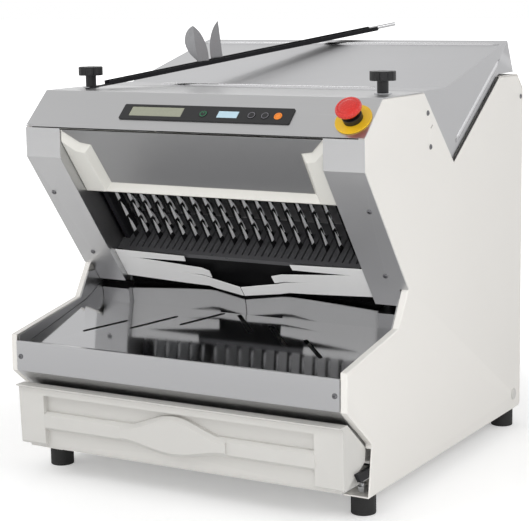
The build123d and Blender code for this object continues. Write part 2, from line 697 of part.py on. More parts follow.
# Blade frames
def frame_blank(depth_start, rod_x_side):
    """Rectangular frame with a clevis on its lower beam."""
    low = depth_start
    high = depth_start + FRAME_DEPTH
    frame = box(-FRAME_HALF, FRAME_HALF, FRAME_TOP, FRAME_END, low, high)
    frame = chamfer(frame.edges().filter_by(Axis.Z), 3)
    inside = box(-FRAME_HALF + FRAME_SIDE, FRAME_HALF - FRAME_SIDE, FRAME_TOP + FRAME_BAR,
                 FRAME_END - FRAME_BAR, low - 1, high + 1)
    frame -= inside
    near, far = (low, 68.0) if low < PIN_N - FRAME_DEPTH else (52.0, high)
    for x in (-11, 11):
        ear = box(rod_x_side + x - 3, rod_x_side + x + 3, FRAME_END - 2, PIN_S + 10, low, high)
        ear += box(rod_x_side + x - 3, rod_x_side + x + 3, PIN_S - 10, PIN_S + 10, near, far)
        ear -= Pos(rod_x_side + x, PIN_S, PIN_N) * Rot(0, 90, 0) * Cylinder(5 + PIN_FIT, 10)
        frame += ear
    return frame


def blade_frame(depth_start, rod_x_side, first):
    """Frame with a slot for each of its blades."""
    frame = frame_blank(depth_start, rod_x_side)
    low = depth_start - 1
    high = depth_start + FRAME_DEPTH + 1
    cutters = []
    for x in blade_positions()[first::2]:
        cutters.append(box(x - 0.55, x + 0.55, FRAME_TOP + 9.8, FRAME_TOP + FRAME_BAR + 1, low, high))
        cutters.append(box(x - 0.55, x + 0.55, FRAME_END - FRAME_BAR - 1, FRAME_END - 9.8, low, high))
    return CUT * (frame - cutters)


def blade(x, depth_start):
    """One serrated blade strip."""
    top = FRAME_TOP + 10
    end = FRAME_END - 10
    back = depth_start
    edge = depth_start + BLADE_WIDTH
    points = [(top, back), (end, back), (end, edge)]
    first = MOUTH_TOP - 14
    teeth = int((GRID_S + 12 - first) / TOOTH_PITCH)
    for i in range(teeth, 0, -1):
        s = first + i * TOOTH_PITCH
        points += [(s, edge), (s - TOOTH_PITCH / 2, edge - TOOTH_DEPTH)]
    points += [(first, edge), (top, edge)]
    wire = Polyline([(x - BLADE_THICK / 2, s, n) for s, n in points], close=True)
    return extrude(make_face(wire), BLADE_THICK, dir=(1, 0, 0))


def blade_set(depth_start, first):
    """All blades of one frame."""
    return group([CUT * blade(x, depth_start) for x in blade_positions()[first::2]])


def connecting_rod(x):
    """Rod with its wrist pin and an oversize ring around the crank pin's path."""
    ring = Cylinder(RING_BORE + RING_WALL, 12)
    rod = Pos(x, CRANK_S, PIN_N) * Rot(0, 90, 0) * ring
    rod += box(x - 4, x + 4, PIN_S, CRANK_S - RING_BORE - 1, PIN_N - 7, PIN_N + 7)
    rod += Pos(x, PIN_S, PIN_N) * Rot(0, 90, 0) * Cylinder(10, 14)
    rod -= Pos(x, CRANK_S, PIN_N) * Rot(0, 90, 0) * Cylinder(RING_BORE, 20)
    rod += Pos(x, PIN_S, PIN_N) * Rot(0, 90, 0) * Cylinder(5, 34)
    return CUT * rod


def frame_guides():
    """Four guide blocks with a channel for each frame."""
    blocks = []
    lips = MOUTH - 7
    for s in (50, 252):
        block = box(lips, PLATE_X - SEAT, s, s + 36, FRAME_A_N - 4.5, FRAME_B_N + FRAME_DEPTH + 6)
        for start in (FRAME_A_N, FRAME_B_N):
            block -= box(lips - 1, FRAME_HALF + SLIDE_FIT, s - 1, s + 40, start - SLIDE_FIT,
                         start + FRAME_DEPTH + SLIDE_FIT)
        blocks += both(CUT * block)
    return group(blocks)


# Drive
SHAFT_Y, SHAFT_Z = cut_point(CRANK_S, PIN_N)
MOTOR_Y = 290.0
MOTOR_Z = 262.0
CRANK_PULLEY = 40.0
MOTOR_PULLEY = 20.0
PULLEY_X0 = PLATE_X + 14.0
PULLEY_X1 = PLATE_X + 34.0


def crankshaft():
    """Shaft with two opposite throws between round webs."""
    shaft = rod_x(-PLATE_X - 12, -ROD_X - 9, SHAFT_Y, SHAFT_Z, 10)
    shaft += rod_x(-ROD_X + 9, ROD_X - 9, SHAFT_Y, SHAFT_Z, 10)
    shaft += rod_x(ROD_X + 9, PULLEY_X1 + 4, SHAFT_Y, SHAFT_Z, 10)
    for side in (-1, 1):
        y = SHAFT_Y + side * CRANK_THROW * TILT_SIN
        z = SHAFT_Z + side * CRANK_THROW * TILT_COS
        for web in (-11, 11):
            x = side * ROD_X + web
            shaft += rod_x(x - 2.5, x + 2.5, SHAFT_Y, SHAFT_Z, 20)
        shaft += rod_x(side * ROD_X - 11, side * ROD_X + 11, y, z, 7)
    return shaft


def shaft_bearings():
    """Flanged bearings in the chassis plates."""
    ring = rod_x(PLATE_X - 6, PLATE_X + PLATE_T + 6, SHAFT_Y, SHAFT_Z, 14)
    ring += rod_x(PLATE_X - 6, PLATE_X - SEAT, SHAFT_Y, SHAFT_Z, 17)
    ring -= rod_x(PLATE_X - 20, PLATE_X + 20, SHAFT_Y, SHAFT_Z, 10.05)
    return group(both(ring))


def pulley(y, z, radius, bore):
    """Flat belt pulley."""
    wheel = rod_x(PULLEY_X0, PULLEY_X1, y, z, radius)
    wheel -= rod_x(PULLEY_X0 - 1, PULLEY_X1 + 1, y, z, bore)
    return wheel


def crank_pulley():
    """Large pulley on the crankshaft."""
    return pulley(SHAFT_Y, SHAFT_Z, CRANK_PULLEY, 10.02)


def motor_pulley():
    """Small pulley on the motor shaft."""
    return pulley(MOTOR_Y, MOTOR_Z, MOTOR_PULLEY, 7.02)


def motor_shaft():
    """Motor shaft."""
    return rod_x(PLATE_X - 20, PULLEY_X1 + 4, MOTOR_Y, MOTOR_Z, 7)


def drive_belt():
    """Flat belt around both pulleys."""
    outer = belt_loop(3.2)
    inner = belt_loop(0.3)
    return outer - inner


def belt_loop(extra):
    """Solid hull of two discs widened by a distance."""
    gap_y = MOTOR_Y - SHAFT_Y
    gap_z = MOTOR_Z - SHAFT_Z
    span = math.hypot(gap_y, gap_z)
    large = CRANK_PULLEY + extra
    small = MOTOR_PULLEY + extra
    lean = math.acos((large - small) / span)
    base = math.atan2(gap_z, gap_y)
    points = []
    for angle, radius, y, z in ((base + lean, large, SHAFT_Y, SHAFT_Z), (base + lean, small, MOTOR_Y, MOTOR_Z),
                                (base - lean, small, MOTOR_Y, MOTOR_Z), (base - lean, large, SHAFT_Y, SHAFT_Z)):
        points.append((y + radius * math.cos(angle), z + radius * math.sin(angle)))
    x0 = PULLEY_X0 + 2.5
    x1 = PULLEY_X1 - 2.5
    loop = prism(points, x0, x1)
    loop += rod_x(x0, x1, SHAFT_Y, SHAFT_Z, large)
    loop += rod_x(x0, x1, MOTOR_Y, MOTOR_Z, small)
    return loop


FINS = 10


def motor():
    """Finned motor body with flange, fan cover and terminal box."""
    body = rod_x(76, PLATE_X - 8, MOTOR_Y, MOTOR_Z, 56)
    body += rod_x(PLATE_X - 10, PLATE_X - SEAT, MOTOR_Y, MOTOR_Z, 62)
    for i in range(FINS):
        fin = box(96, PLATE_X - 26, 54, 61, -1.5, 1.5)
        body += Pos(0, MOTOR_Y, MOTOR_Z) * Rot(i * 360 / FINS, 0, 0) * fin
    cover = rod_x(50, 82, MOTOR_Y, MOTOR_Z, 59)
    body += cover
    body += box(110, 170, MOTOR_Y - 30, MOTOR_Y + 30, MOTOR_Z + 50, MOTOR_Z + 88)
    body -= rod_x(PLATE_X - 24, PLATE_X + 10, MOTOR_Y, MOTOR_Z, 7.4)
    return body


# Loaf channel
def loading_chute():
    """Floor of the loaf channel behind the blades."""
    wide = PLATE_X - SEAT
    floor = box(-wide, wide, GRID_S, GRID_S + SHEET, 106.3, 420)
    floor += box(-wide, wide, GRID_S - 26, GRID_S + SHEET, 420 - SHEET, 420)
    floor -= box(-wide - 1, wide + 1, GRID_S - 30, GRID_S - 26, 400, 430)
    return CUT * floor


PUSHER_N = 262.0
RAIL_S = 150.0
RAIL_X = MOUTH - 6.0


def pusher():
    """Pusher plate with stiffening ribs and rod bushes."""
    wide = MOUTH - 14
    plate = box(-wide, wide, 104, GRID_S - 3, PUSHER_N, PUSHER_N + 4)
    plate = chamfer(plate.edges().filter_by(Axis.Z), 6)
    for x in (-120, 0, 120):
        plate += box(x - 2, x + 2, 112, GRID_S - 12, PUSHER_N + 3.5, PUSHER_N + 16)
    for side in (-1, 1):
        plate += Pos(side * RAIL_X, RAIL_S, PUSHER_N + 8) * Cylinder(9, 24)
        plate += box(min(side * wide * 0.9, side * (RAIL_X - 4)), max(side * wide * 0.9, side * (RAIL_X - 4)),
                     RAIL_S - 6, RAIL_S + 6, PUSHER_N, PUSHER_N + 6)
        plate -= Pos(side * RAIL_X, RAIL_S, PUSHER_N + 8) * Cylinder(5.05, 60)
    return CUT * plate


def pusher_rods():
    """Guide rods with their end blocks."""
    rods = []
    rod = Pos(RAIL_X, RAIL_S, 200) * Cylinder(5, 216)
    for n in (92, 308):
        rod += box(RAIL_X - 8, PLATE_X - SEAT, RAIL_S - 9, RAIL_S + 9, n - 6, n + 6)
    rods += both(CUT * rod)
    return group(rods)


# Screws
def screw_head(radius):
    """Flat screw head with a faceted shank, head up along z."""
    head = Pos(0, 0, 1.0) * Cylinder(radius, 2.0)
    return head + Pos(0, 0, -3.5) * extrude(RegularPolygon(2.3, 8), 3.6)


def machine_screws():
    """Visible screws of columns, apron and side panels."""
    screws = []
    for x, s in SCREW_SPOTS:
        screws += both(CUT * (Pos(x, s, -SEAT) * Rot(180, 0, 0) * screw_head(4.2)))
    apron = Pos(TABLE_HALF - 8, FRONT_Y - SEAT, 200) * Rot(90, 0, 0) * screw_head(4.2)
    screws += both(apron)
    for y, z in SIDE_SCREWS:
        screws += both(Pos(HALF + SEAT, y, z) * Rot(0, 90, 0) * screw_head(4.2))
    return group(screws)


# Scoop resting on the hood
SCOOP_TIP = (-240.0, -131.0, HOOD_Z + 0.6)
SCOOP_END = (17.0, 393.0, HOOD_Z + 78.5)


def scoop_location():
    """Placement of the scoop's own frame: x along it, z up."""
    run = [SCOOP_END[i] - SCOOP_TIP[i] for i in range(3)]
    size = math.sqrt(sum(v * v for v in run))
    along = Vector(*run) / size
    side = along.cross(Vector(0, 0, 1)).normalized()
    up = side.cross(along).normalized()
    return Plane(origin=SCOOP_TIP, x_dir=along, z_dir=up).location, size


def scoop_carrier():
    """Long tapered carrier bar with a folded rim and a welded round handle."""
    place, size = scoop_location()
    outline = [(0, -2), (60, -11), (size, -14), (size, 14), (60, 11), (0, 2)]
    bar = slab(outline, 0, 1.5)
    rim = [(40, -9.0), (size, -14), (size, -12.5), (40, -7.5)]
    bar += slab(rim, 1.0, 7)
    rim = [(40, 9.0), (size, 14), (size, 12.5), (40, 7.5)]
    bar += slab(rim, 1.0, 7)
    grip = Pos(size + 20, 0, 4.0) * Rot(0, 90, 0) * Cylinder(3.4, 60)
    grip = chamfer(grip.edges().filter_by(GeomType.CIRCLE).sort_by(Axis.X)[-1], 1.0)
    bar += grip + box(size - 24, size + 4, -11, 11, 1.0, 3.2)
    return place * bar


LEAF_WIDE = ((19.0, 4.0), (19.5, 24.0), (15.0, 45.0), (7.5, 60.0), (0.0, 68.0))
LEAF_ROUND = ((0.0, 10.0), (11.0, 22.0), (17.5, 42.0), (12.0, 59.0), (0.0, 68.0))
LEAVES = ((214.6, -20.0, 130.0), (264.0, 160.0, 60.0))


def leaf_half(edge, turn):
    """Half a leaf: straight along the fold, with a curved outer edge."""
    curve = Spline([(x, -0.8, z) for x, z in edge])
    corners = [edge[-1], (0, edge[0][1])]
    if edge[0][0] > 0:
        corners.append(edge[0])
    fold = Polyline([(x, -0.8, z) for x, z in corners])
    wing = make_face(curve + fold)
    return Rot(0, 0, turn) * extrude(wing, 1.6, dir=(0, 1, 0))


def scoop_fins():
    """Two folded upright leaves with curved outer edges, each on a foot."""
    place, size = scoop_location()
    fins = []
    for along, wide_turn, round_turn in LEAVES:
        leaf = leaf_half(LEAF_WIDE, wide_turn) + leaf_half(LEAF_ROUND, round_turn)
        leaf += rod_z(0, 0, 4, 67.6, 0.8)
        foot = Rot(0, 0, wide_turn) * box(-3, 14, -3, 3, 3.6, 5.0)
        fins.append(place * (Pos(along, 0, 0) * (leaf + foot)))
    return group(fins)


def scoop_pads():
    """Black pads between leaves and carrier."""
    place, size = scoop_location()
    pads = []
    for along, side in ((LEAVES[0][0], 1), (LEAVES[1][0], -1)):
        pads.append(place * (Pos(along + side * 8, 0, 2.6) * Box(24, 13, 1.9)))
    return group(pads)


def build_all():
    """Every item by name."""
    items = {}
    items["right_side_panel"] = right_side_panel()
    items["left_side_panel"] = mirror(items["right_side_panel"], about=Plane.YZ)
    items["hole_plugs"] = hole_plugs()
    items["rubber_feet"] = rubber_feet()
    items["foot_bolts"] = foot_bolts()
    items["cross_beams"] = cross_beams()
    items["chassis_plates"] = chassis_plates()
    items["front_hood"] = front_hood()
    items["right_column"] = right_column()
    items["left_column"] = mirror(items["right_column"], about=Plane.YZ)
    items["guard_liner"] = guard_liner()
    items["guard_plate"] = guard_plate()
    items["display_bezel"] = display_bezel()
    items["lcd_window"] = lcd_window()
    for name, x in KEY_SPOTS:
        items[name] = key(x)
    items["control_box"] = control_box()
    items["stop_ring"] = stop_ring()
    items["stop_body"] = stop_body()
    items["stop_stem"] = stop_stem()
    items["stop_head"] = stop_head()
    items["right_knob"] = right_knob()
    items["left_knob"] = mirror(items["right_knob"], about=Plane.YZ)
    items["knob_washers"] = knob_washers()
    items["loading_cover"] = loading_cover()
    items["cover_leaves"] = cover_leaves()
    items["cover_hinges"] = cover_hinges()
    items["rear_panel"] = rear_panel()
    items["power_inlet"] = power_inlet()
    items["slotted_table"] = slotted_table()
    items["table_cheeks"] = table_cheeks()
    items["crumb_drawer"] = crumb_drawer()
    items["drawer_runners"] = drawer_runners()
    items["right_fingers"] = right_fingers()
    items["left_fingers"] = mirror(items["right_fingers"], about=Plane.YZ)
    items["finger_clamps"] = finger_clamps()
    items["support_grid"] = support_grid()
    items["blade_frame_a"] = blade_frame(FRAME_A_N, -ROD_X, 0)
    items["blade_frame_b"] = blade_frame(FRAME_B_N, ROD_X, 1)
    items["blades_a"] = blade_set(FRAME_A_N, 0)
    items["blades_b"] = blade_set(FRAME_B_N, 1)
    items["rod_a"] = connecting_rod(-ROD_X)
    items["rod_b"] = connecting_rod(ROD_X)
    items["frame_guides"] = frame_guides()
    items["crankshaft"] = crankshaft()
    items["shaft_bearings"] = shaft_bearings()
    items["crank_pulley"] = crank_pulley()
    items["motor"] = motor()
    items["motor_shaft"] = motor_shaft()
    items["motor_pulley"] = motor_pulley()
    items["drive_belt"] = drive_belt()
    items["loading_chute"] = loading_chute()
    items["pusher"] = pusher()
    items["pusher_rods"] = pusher_rods()
    items["machine_screws"] = machine_screws()
    items["scoop_carrier"] = scoop_carrier()
    items["scoop_fins"] = scoop_fins()
    items["scoop_pads"] = scoop_pads()
    return items


def main():
    """Build every item, centre the assembly on its footprint and write it."""
    items = build_all()
    low = min(item.bounding_box().min.Y for item in items.values())
    high = max(item.bounding_box().max.Y for item in items.values())
    shift = -(low + high) / 2
    print("shift", round(shift, 3), "items", len(items))
    for name, item in items.items():
        solids = item.solids()
        whole = solids[0] if len(solids) == 1 else Compound(solids)
        moved = Pos(0, shift, 0) * whole
        export_step(moved, f"parts/{name}.step")


main()
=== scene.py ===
# %% [markdown]
# # A table-top bread slicer
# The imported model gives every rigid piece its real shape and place. This script rounds the edges
# that show, adds the small repeated pieces, gives everything its finish, and sets soft studio
# light with the camera where the photograph was taken from.

# %% Load the fixed frame
import json
import math

import bmesh
import bpy
from mathutils import Matrix, Vector

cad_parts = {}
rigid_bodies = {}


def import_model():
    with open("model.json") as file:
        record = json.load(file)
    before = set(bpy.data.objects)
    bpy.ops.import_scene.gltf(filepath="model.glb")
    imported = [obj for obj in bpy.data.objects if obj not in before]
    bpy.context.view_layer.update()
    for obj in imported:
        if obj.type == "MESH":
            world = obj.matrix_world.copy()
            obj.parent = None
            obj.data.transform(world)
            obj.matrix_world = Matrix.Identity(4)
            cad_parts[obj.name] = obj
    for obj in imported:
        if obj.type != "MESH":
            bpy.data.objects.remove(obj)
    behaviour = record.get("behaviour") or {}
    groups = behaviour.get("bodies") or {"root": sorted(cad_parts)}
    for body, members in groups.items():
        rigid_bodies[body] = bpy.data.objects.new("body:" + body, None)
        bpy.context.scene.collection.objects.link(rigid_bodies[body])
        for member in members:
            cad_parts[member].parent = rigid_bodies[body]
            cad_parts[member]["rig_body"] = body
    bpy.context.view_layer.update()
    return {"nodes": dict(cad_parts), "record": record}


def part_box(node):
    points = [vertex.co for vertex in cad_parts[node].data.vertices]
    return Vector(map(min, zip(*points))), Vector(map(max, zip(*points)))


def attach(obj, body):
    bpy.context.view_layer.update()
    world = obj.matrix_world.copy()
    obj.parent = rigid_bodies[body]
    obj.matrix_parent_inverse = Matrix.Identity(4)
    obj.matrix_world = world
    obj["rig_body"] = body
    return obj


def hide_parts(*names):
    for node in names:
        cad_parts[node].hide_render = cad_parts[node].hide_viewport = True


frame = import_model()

NODES = frame["nodes"]
SLOT_OF = {part["node"]: part["material_slot"] for part in frame["record"]["subparts"]}
BODY_OF = {name: node["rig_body"] for name, node in NODES.items()}
print("nodes loaded:", len(NODES), "bodies:", len(set(BODY_OF.values())))

# %% [markdown]
# The camera comes first. On a real shoot this is a long lens a few steps back, which keeps the two
# side panels nearly parallel. The lens follows from the fitted focal length, and the small roll is
# part of the fit, so the right and up directions are turned together before the matrix is made.

# %% Place the camera
IMAGE_WIDTH = 529.0
FOCAL_PIXELS = 1612.7
SENSOR_WIDTH = 36.0
VIEW_REACH = 50.0
CAMERA_PLACE = Vector((1.3082, -2.3230, 0.7744))
CAMERA_AIM = Vector((-0.1624, 0.2187, 0.2742))
CAMERA_ROLL = math.radians(-0.849)


def look_matrix(place, aim, roll):
    forward = (aim - place).normalized()
    right = forward.cross(Vector((0, 0, 1))).normalized()
    up = right.cross(forward)
    turned_right = right * math.cos(roll) + up * math.sin(roll)
    turned_up = up * math.cos(roll) - right * math.sin(roll)
    columns = (turned_right, turned_up, -forward)
    turn = Matrix([[c[i] for c in columns] for i in range(3)])
    return Matrix.Translation(place) @ turn.to_4x4()


camera_data = bpy.data.cameras.new("studio_camera")
camera_data.sensor_fit = "HORIZONTAL"
camera_data.sensor_width = SENSOR_WIDTH
camera_data.lens = SENSOR_WIDTH * FOCAL_PIXELS / IMAGE_WIDTH
camera_data.clip_end = VIEW_REACH
camera = bpy.data.objects.new("studio_camera", camera_data)
bpy.context.scene.collection.objects.link(camera)
camera.matrix_world = look_matrix(CAMERA_PLACE, CAMERA_AIM, CAMERA_ROLL)
bpy.context.scene.camera = camera
bpy.context.scene.view_settings.view_transform = "Standard"
print("lens in mm:", round(camera_data.lens, 2))

# %% [markdown]
# Finishes share three effects: a fine unevenness, which every real surface has, rubbed edges, and
# faint smears, such as hands and cloths leave. Each is made once as a node group, and each
# material places it with its own values.

# %% Node group for fine unevenness


def new_group(name, inputs, outputs):
    tree = bpy.data.node_groups.new(name, "ShaderNodeTree")
    for label, kind, value in inputs:
        socket = tree.interface.new_socket(name=label, in_out="INPUT", socket_type=kind)
        if value is not None:
            socket.default_value = value
    for label, kind in outputs:
        tree.interface.new_socket(name=label, in_out="OUTPUT", socket_type=kind)
    return tree, tree.nodes.new("NodeGroupInput"), tree.nodes.new("NodeGroupOutput")


def make_grain_group():
    inputs = (("Vector", "NodeSocketVector", None), ("Scale", "NodeSocketFloat", 60.0),
              ("Low", "NodeSocketFloat", 0.0), ("High", "NodeSocketFloat", 1.0))
    outputs = (("Value", "NodeSocketFloat"), ("Height", "NodeSocketFloat"))
    tree, given, result = new_group("fine_grain", inputs, outputs)
    noise = tree.nodes.new("ShaderNodeTexNoise")
    noise.inputs["Detail"].default_value = 5.0
    spread = tree.nodes.new("ShaderNodeMapRange")
    spread.inputs["From Min"].default_value = 0.3
    spread.inputs["From Max"].default_value = 0.7
    tree.links.new(given.outputs["Vector"], noise.inputs["Vector"])
    tree.links.new(given.outputs["Scale"], noise.inputs["Scale"])
    tree.links.new(noise.outputs["Fac"], spread.inputs["Value"])
    tree.links.new(given.outputs["Low"], spread.inputs["To Min"])
    tree.links.new(given.outputs["High"], spread.inputs["To Max"])
    tree.links.new(spread.outputs["Result"], result.inputs["Value"])
    tree.links.new(noise.outputs["Fac"], result.inputs["Height"])
    return tree


GRAIN = make_grain_group()
print("group made:", GRAIN.name)

# %% Node group for rubbed edges


def make_edge_group():
    inputs = (("Start", "NodeSocketFloat", 0.52), ("Full", "NodeSocketFloat", 0.62),
              ("Amount", "NodeSocketFloat", 0.5))
    tree, given, result = new_group("rubbed_edges", inputs, (("Mask", "NodeSocketFloat"),))
    shape = tree.nodes.new("ShaderNodeNewGeometry")
    spread = tree.nodes.new("ShaderNodeMapRange")
    tree.links.new(shape.outputs["Pointiness"], spread.inputs["Value"])
    tree.links.new(given.outputs["Start"], spread.inputs["From Min"])
    tree.links.new(given.outputs["Full"], spread.inputs["From Max"])
    tree.links.new(given.outputs["Amount"], spread.inputs["To Max"])
    tree.links.new(spread.outputs["Result"], result.inputs["Mask"])
    return tree


EDGES = make_edge_group()
print("group made:", EDGES.name)

# %% Node group for smears


def make_smear_group():
    inputs = (("Vector", "NodeSocketVector", None), ("Scale", "NodeSocketFloat", 5.0),
              ("Amount", "NodeSocketFloat", 0.1))
    tree, given, result = new_group("faint_smears", inputs, (("Mask", "NodeSocketFloat"),))
    cloud = tree.nodes.new("ShaderNodeTexNoise")
    cloud.inputs["Detail"].default_value = 3.0
    cloud.inputs["Distortion"].default_value = 0.8
    spread = tree.nodes.new("ShaderNodeMapRange")
    spread.interpolation_type = "SMOOTHSTEP"
    spread.inputs["From Min"].default_value = 0.45
    spread.inputs["From Max"].default_value = 0.75
    tree.links.new(given.outputs["Vector"], cloud.inputs["Vector"])
    tree.links.new(given.outputs["Scale"], cloud.inputs["Scale"])
    tree.links.new(cloud.outputs["Fac"], spread.inputs["Value"])
    tree.links.new(given.outputs["Amount"], spread.inputs["To Max"])
    tree.links.new(spread.outputs["Result"], result.inputs["Mask"])
    return tree


SMEARS = make_smear_group()
print("group made:", SMEARS.name)

# %% [markdown]
# Every finish is one material: a body colour that wanders a little, edges where it is rubbed, a
# roughness that varies with the grain and the smears, and a shallow bump. Rolled sheet gets its
# faint streaks by stretching the grain along the rolling direction.

# %% Helper that builds one finish
RUBBED_TONE = 1.25
RUBBED_AMOUNT = 0.15
SMEAR_SCALE = 6.0
LEAST_ROUGHNESS = 0.02
BUMP_DEPTH = 0.0003


def toned(colour, share):
    return tuple(min(1.0, c * share) for c in colour) + (1.0,)


def placed(tree, group, vector=None, **values):
    node = tree.nodes.new("ShaderNodeGroup")
    node.node_tree = group
    for label, value in values.items():
        node.inputs[label].default_value = value
    if vector is not None:
        tree.links.new(vector, node.inputs["Vector"])
    return node


def finish(name, colour, rough, metal=0.0, stretch=(1, 1, 1), scale=60.0, wander=0.04,
           bump=0.02, coat=0.0, rough_spread=0.06, smear=0.05, specular=0.5):
    material = bpy.data.materials.new(name)
    material.use_nodes = True
    tree = material.node_tree
    nodes, links = tree.nodes, tree.links
    shader = nodes["Principled BSDF"]
    shader.inputs["Metallic"].default_value = metal
    shader.inputs["Coat Weight"].default_value = coat
    shader.inputs["Specular IOR Level"].default_value = specular
    place = nodes.new("ShaderNodeTexCoord")
    aim = nodes.new("ShaderNodeMapping")
    aim.inputs["Scale"].default_value = stretch
    links.new(place.outputs["Object"], aim.inputs["Vector"])
    grain = placed(tree, GRAIN, aim.outputs["Vector"], Scale=scale,
                   Low=max(LEAST_ROUGHNESS, rough - rough_spread),
                   High=min(1.0, rough + rough_spread))
    smears = placed(tree, SMEARS, place.outputs["Object"], Scale=SMEAR_SCALE, Amount=smear)
    total = nodes.new("ShaderNodeMath")
    links.new(grain.outputs["Value"], total.inputs[0])
    links.new(smears.outputs["Mask"], total.inputs[1])
    links.new(total.outputs[0], shader.inputs["Roughness"])
    tone = nodes.new("ShaderNodeMix")
    tone.data_type = "RGBA"
    tone.inputs["A"].default_value = toned(colour, 1.0 - wander)
    tone.inputs["B"].default_value = toned(colour, 1.0 + wander)
    links.new(grain.outputs["Height"], tone.inputs["Factor"])
    rub = placed(tree, EDGES, Amount=RUBBED_AMOUNT)
    worn = nodes.new("ShaderNodeMix")
    worn.data_type = "RGBA"
    worn.inputs["B"].default_value = toned(colour, RUBBED_TONE)
    links.new(rub.outputs["Mask"], worn.inputs["Factor"])
    links.new(tone.outputs["Result"], worn.inputs["A"])
    links.new(worn.outputs["Result"], shader.inputs["Base Color"])
    relief = nodes.new("ShaderNodeBump")
    relief.inputs["Strength"].default_value = bump
    relief.inputs["Distance"].default_value = BUMP_DEPTH
    links.new(grain.outputs["Height"], relief.inputs["Height"])
    links.new(relief.outputs["Normal"], shader.inputs["Normal"])
    return material


print("helper ready:", finish.__name__)

# %% [markdown]
# The finishes are kept in one table under short names. Most are named as the CAD model's record
# names its slots, so a piece finds its finish by its slot. The rest are for parts of a piece or
# for pieces that differ from their slot, such as the cover, which is duller than the other satin
# sheet.

# %% Define the finishes
ALONG_X = (2.0, 160.0, 160.0)
FINISH = {
    "panel_paint": finish("cream_powder_coat", (0.79, 0.77, 0.735), 0.42, scale=700.0, bump=0.12,
                          wander=0.01, smear=0.04),
    "stainless": finish("satin_sheet", (0.60, 0.60, 0.605), 0.34, 1.0, ALONG_X, 4.0, wander=0.012,
                        bump=0.008, rough_spread=0.02, smear=0.04),
    "cover_sheet": finish("cover_sheet", (0.54, 0.54, 0.55), 0.40, 1.0, ALONG_X, 4.0, wander=0.012,
                          bump=0.01, rough_spread=0.02, smear=0.04),
    # The beads' finish is lighter than the sheet they are pressed from: painted highlight.
    "bead_sheet_highlit": finish("bead_sheet_highlit", (0.70, 0.70, 0.71), 0.24, 1.0, scale=200.0, wander=0.02,
                         bump=0.005),
    # The guard plate's finish is duller, and its darker colour is painted shade on the satin steel.
    "dull_sheet_shaded": finish("dull_sheet_shaded", (0.36, 0.36, 0.365), 0.36, 1.0, ALONG_X, 4.0, wander=0.015,
                         bump=0.008, rough_spread=0.02, smear=0.05),
    # The scoop's leaves get a darker copy of the steel: painted shade.
    "leaf_sheet_shaded": finish("leaf_sheet_shaded", (0.34, 0.34, 0.35), 0.22, 1.0, (1, 1, 30), 20.0, wander=0.03,
                         bump=0.01, rough_spread=0.03, smear=0.08),
    # The grid plate's lighter grey is painted light on the black grid.
    "grid_teeth": finish("grid_teeth", (0.10, 0.10, 0.105), 0.32, 0.3, scale=300.0, wander=0.05),
    "polished": finish("polished_sheet", (0.50, 0.50, 0.51), 0.07, 1.0, ALONG_X, 4.0, wander=0.01,
                       bump=0.003, rough_spread=0.015, smear=0.03),
    "dark_steel": finish("dark_coated_steel", (0.014, 0.014, 0.016), 0.42, scale=500.0, bump=0.1,
                         specular=0.1),
    "zinc": finish("zinc_plate", (0.55, 0.56, 0.57), 0.32, 1.0, scale=250.0, wander=0.08),
    "blade_steel": finish("coated_blade", (0.010, 0.010, 0.011), 0.45, 0.0, (1, 20, 20), 30.0,
                          specular=0.1),
    "black_plastic": finish("black_moulding", (0.008, 0.008, 0.009), 0.36, scale=700.0, bump=0.1),
    "white_plastic": finish("white_moulding", (0.60, 0.59, 0.565), 0.38, scale=700.0, bump=0.06,
                            wander=0.01),
    "cream_plastic": finish("cream_moulding", (0.73, 0.72, 0.675), 0.40, scale=700.0, bump=0.06,
                            wander=0.01),
    "nylon": finish("nylon_sheet", (0.84, 0.84, 0.835), 0.42, scale=400.0, bump=0.03, wander=0.01),
    "rubber_black": finish("black_rubber", (0.016, 0.016, 0.016), 0.7, scale=900.0, bump=0.2,
                           wander=0.1),
    "red_plastic": finish("red_moulding", (0.60, 0.018, 0.012), 0.25, scale=300.0, coat=0.3,
                          bump=0.02),
    "yellow_plastic": finish("yellow_moulding", (0.80, 0.50, 0.02), 0.38, scale=400.0, bump=0.04),
    "orange_plastic": finish("orange_moulding", (0.85, 0.24, 0.02), 0.35, scale=400.0, bump=0.04),
    "grey_plastic": finish("grey_moulding", (0.20, 0.20, 0.20), 0.5, scale=600.0, bump=0.1),
    "lcd": finish("display_window", (0.31, 0.32, 0.24), 0.12, scale=300.0, coat=0.5, bump=0.0,
                  wander=0.08, smear=0.0),
    "cast": finish("cast_alloy", (0.50, 0.51, 0.53), 0.48, 1.0, scale=350.0, bump=0.25, wander=0.1),
    "belt_rubber": finish("belt_rubber", (0.03, 0.03, 0.03), 0.65, scale=900.0, bump=0.2,
                          wander=0.1),
    "screw_steel": finish("screw_steel", (0.20, 0.20, 0.21), 0.28, 1.0, scale=250.0, wander=0.08),
    "rod_steel": finish("rod_steel", (0.62, 0.62, 0.63), 0.25, 1.0, (1, 1, 30), 20.0, wander=0.03),
    "grid_black": finish("grid_black", (0.004, 0.004, 0.0045), 0.5, scale=700.0, bump=0.1,
                         specular=0.12),
    # The blades' flame-shaped facets are pale patches: painted highlights.
    "blade_painted_highlight": finish("painted_highlight_facet", (0.95, 0.95, 0.96), 0.40, 0.05, (1, 30, 30), 40.0),
    "green_print": finish("green_print", (0.02, 0.22, 0.09), 0.35, scale=300.0, wander=0.05),
    "pale_print": finish("pale_print", (0.22, 0.21, 0.24), 0.35, scale=300.0, wander=0.05),
    "orange_print": finish("orange_print", (0.42, 0.10, 0.01), 0.35, scale=300.0, wander=0.05),
    "pale_window": finish("pale_window", (0.48, 0.66, 0.76), 0.12, scale=60.0, coat=0.5, bump=0.0,
                          wander=0.1, smear=0.0),
}
for name, node in NODES.items():
    node.data.materials.clear()
    node.data.materials.append(FINISH[SLOT_OF[name]])
print("finishes:", len(FINISH), "nodes finished:", len(NODES))

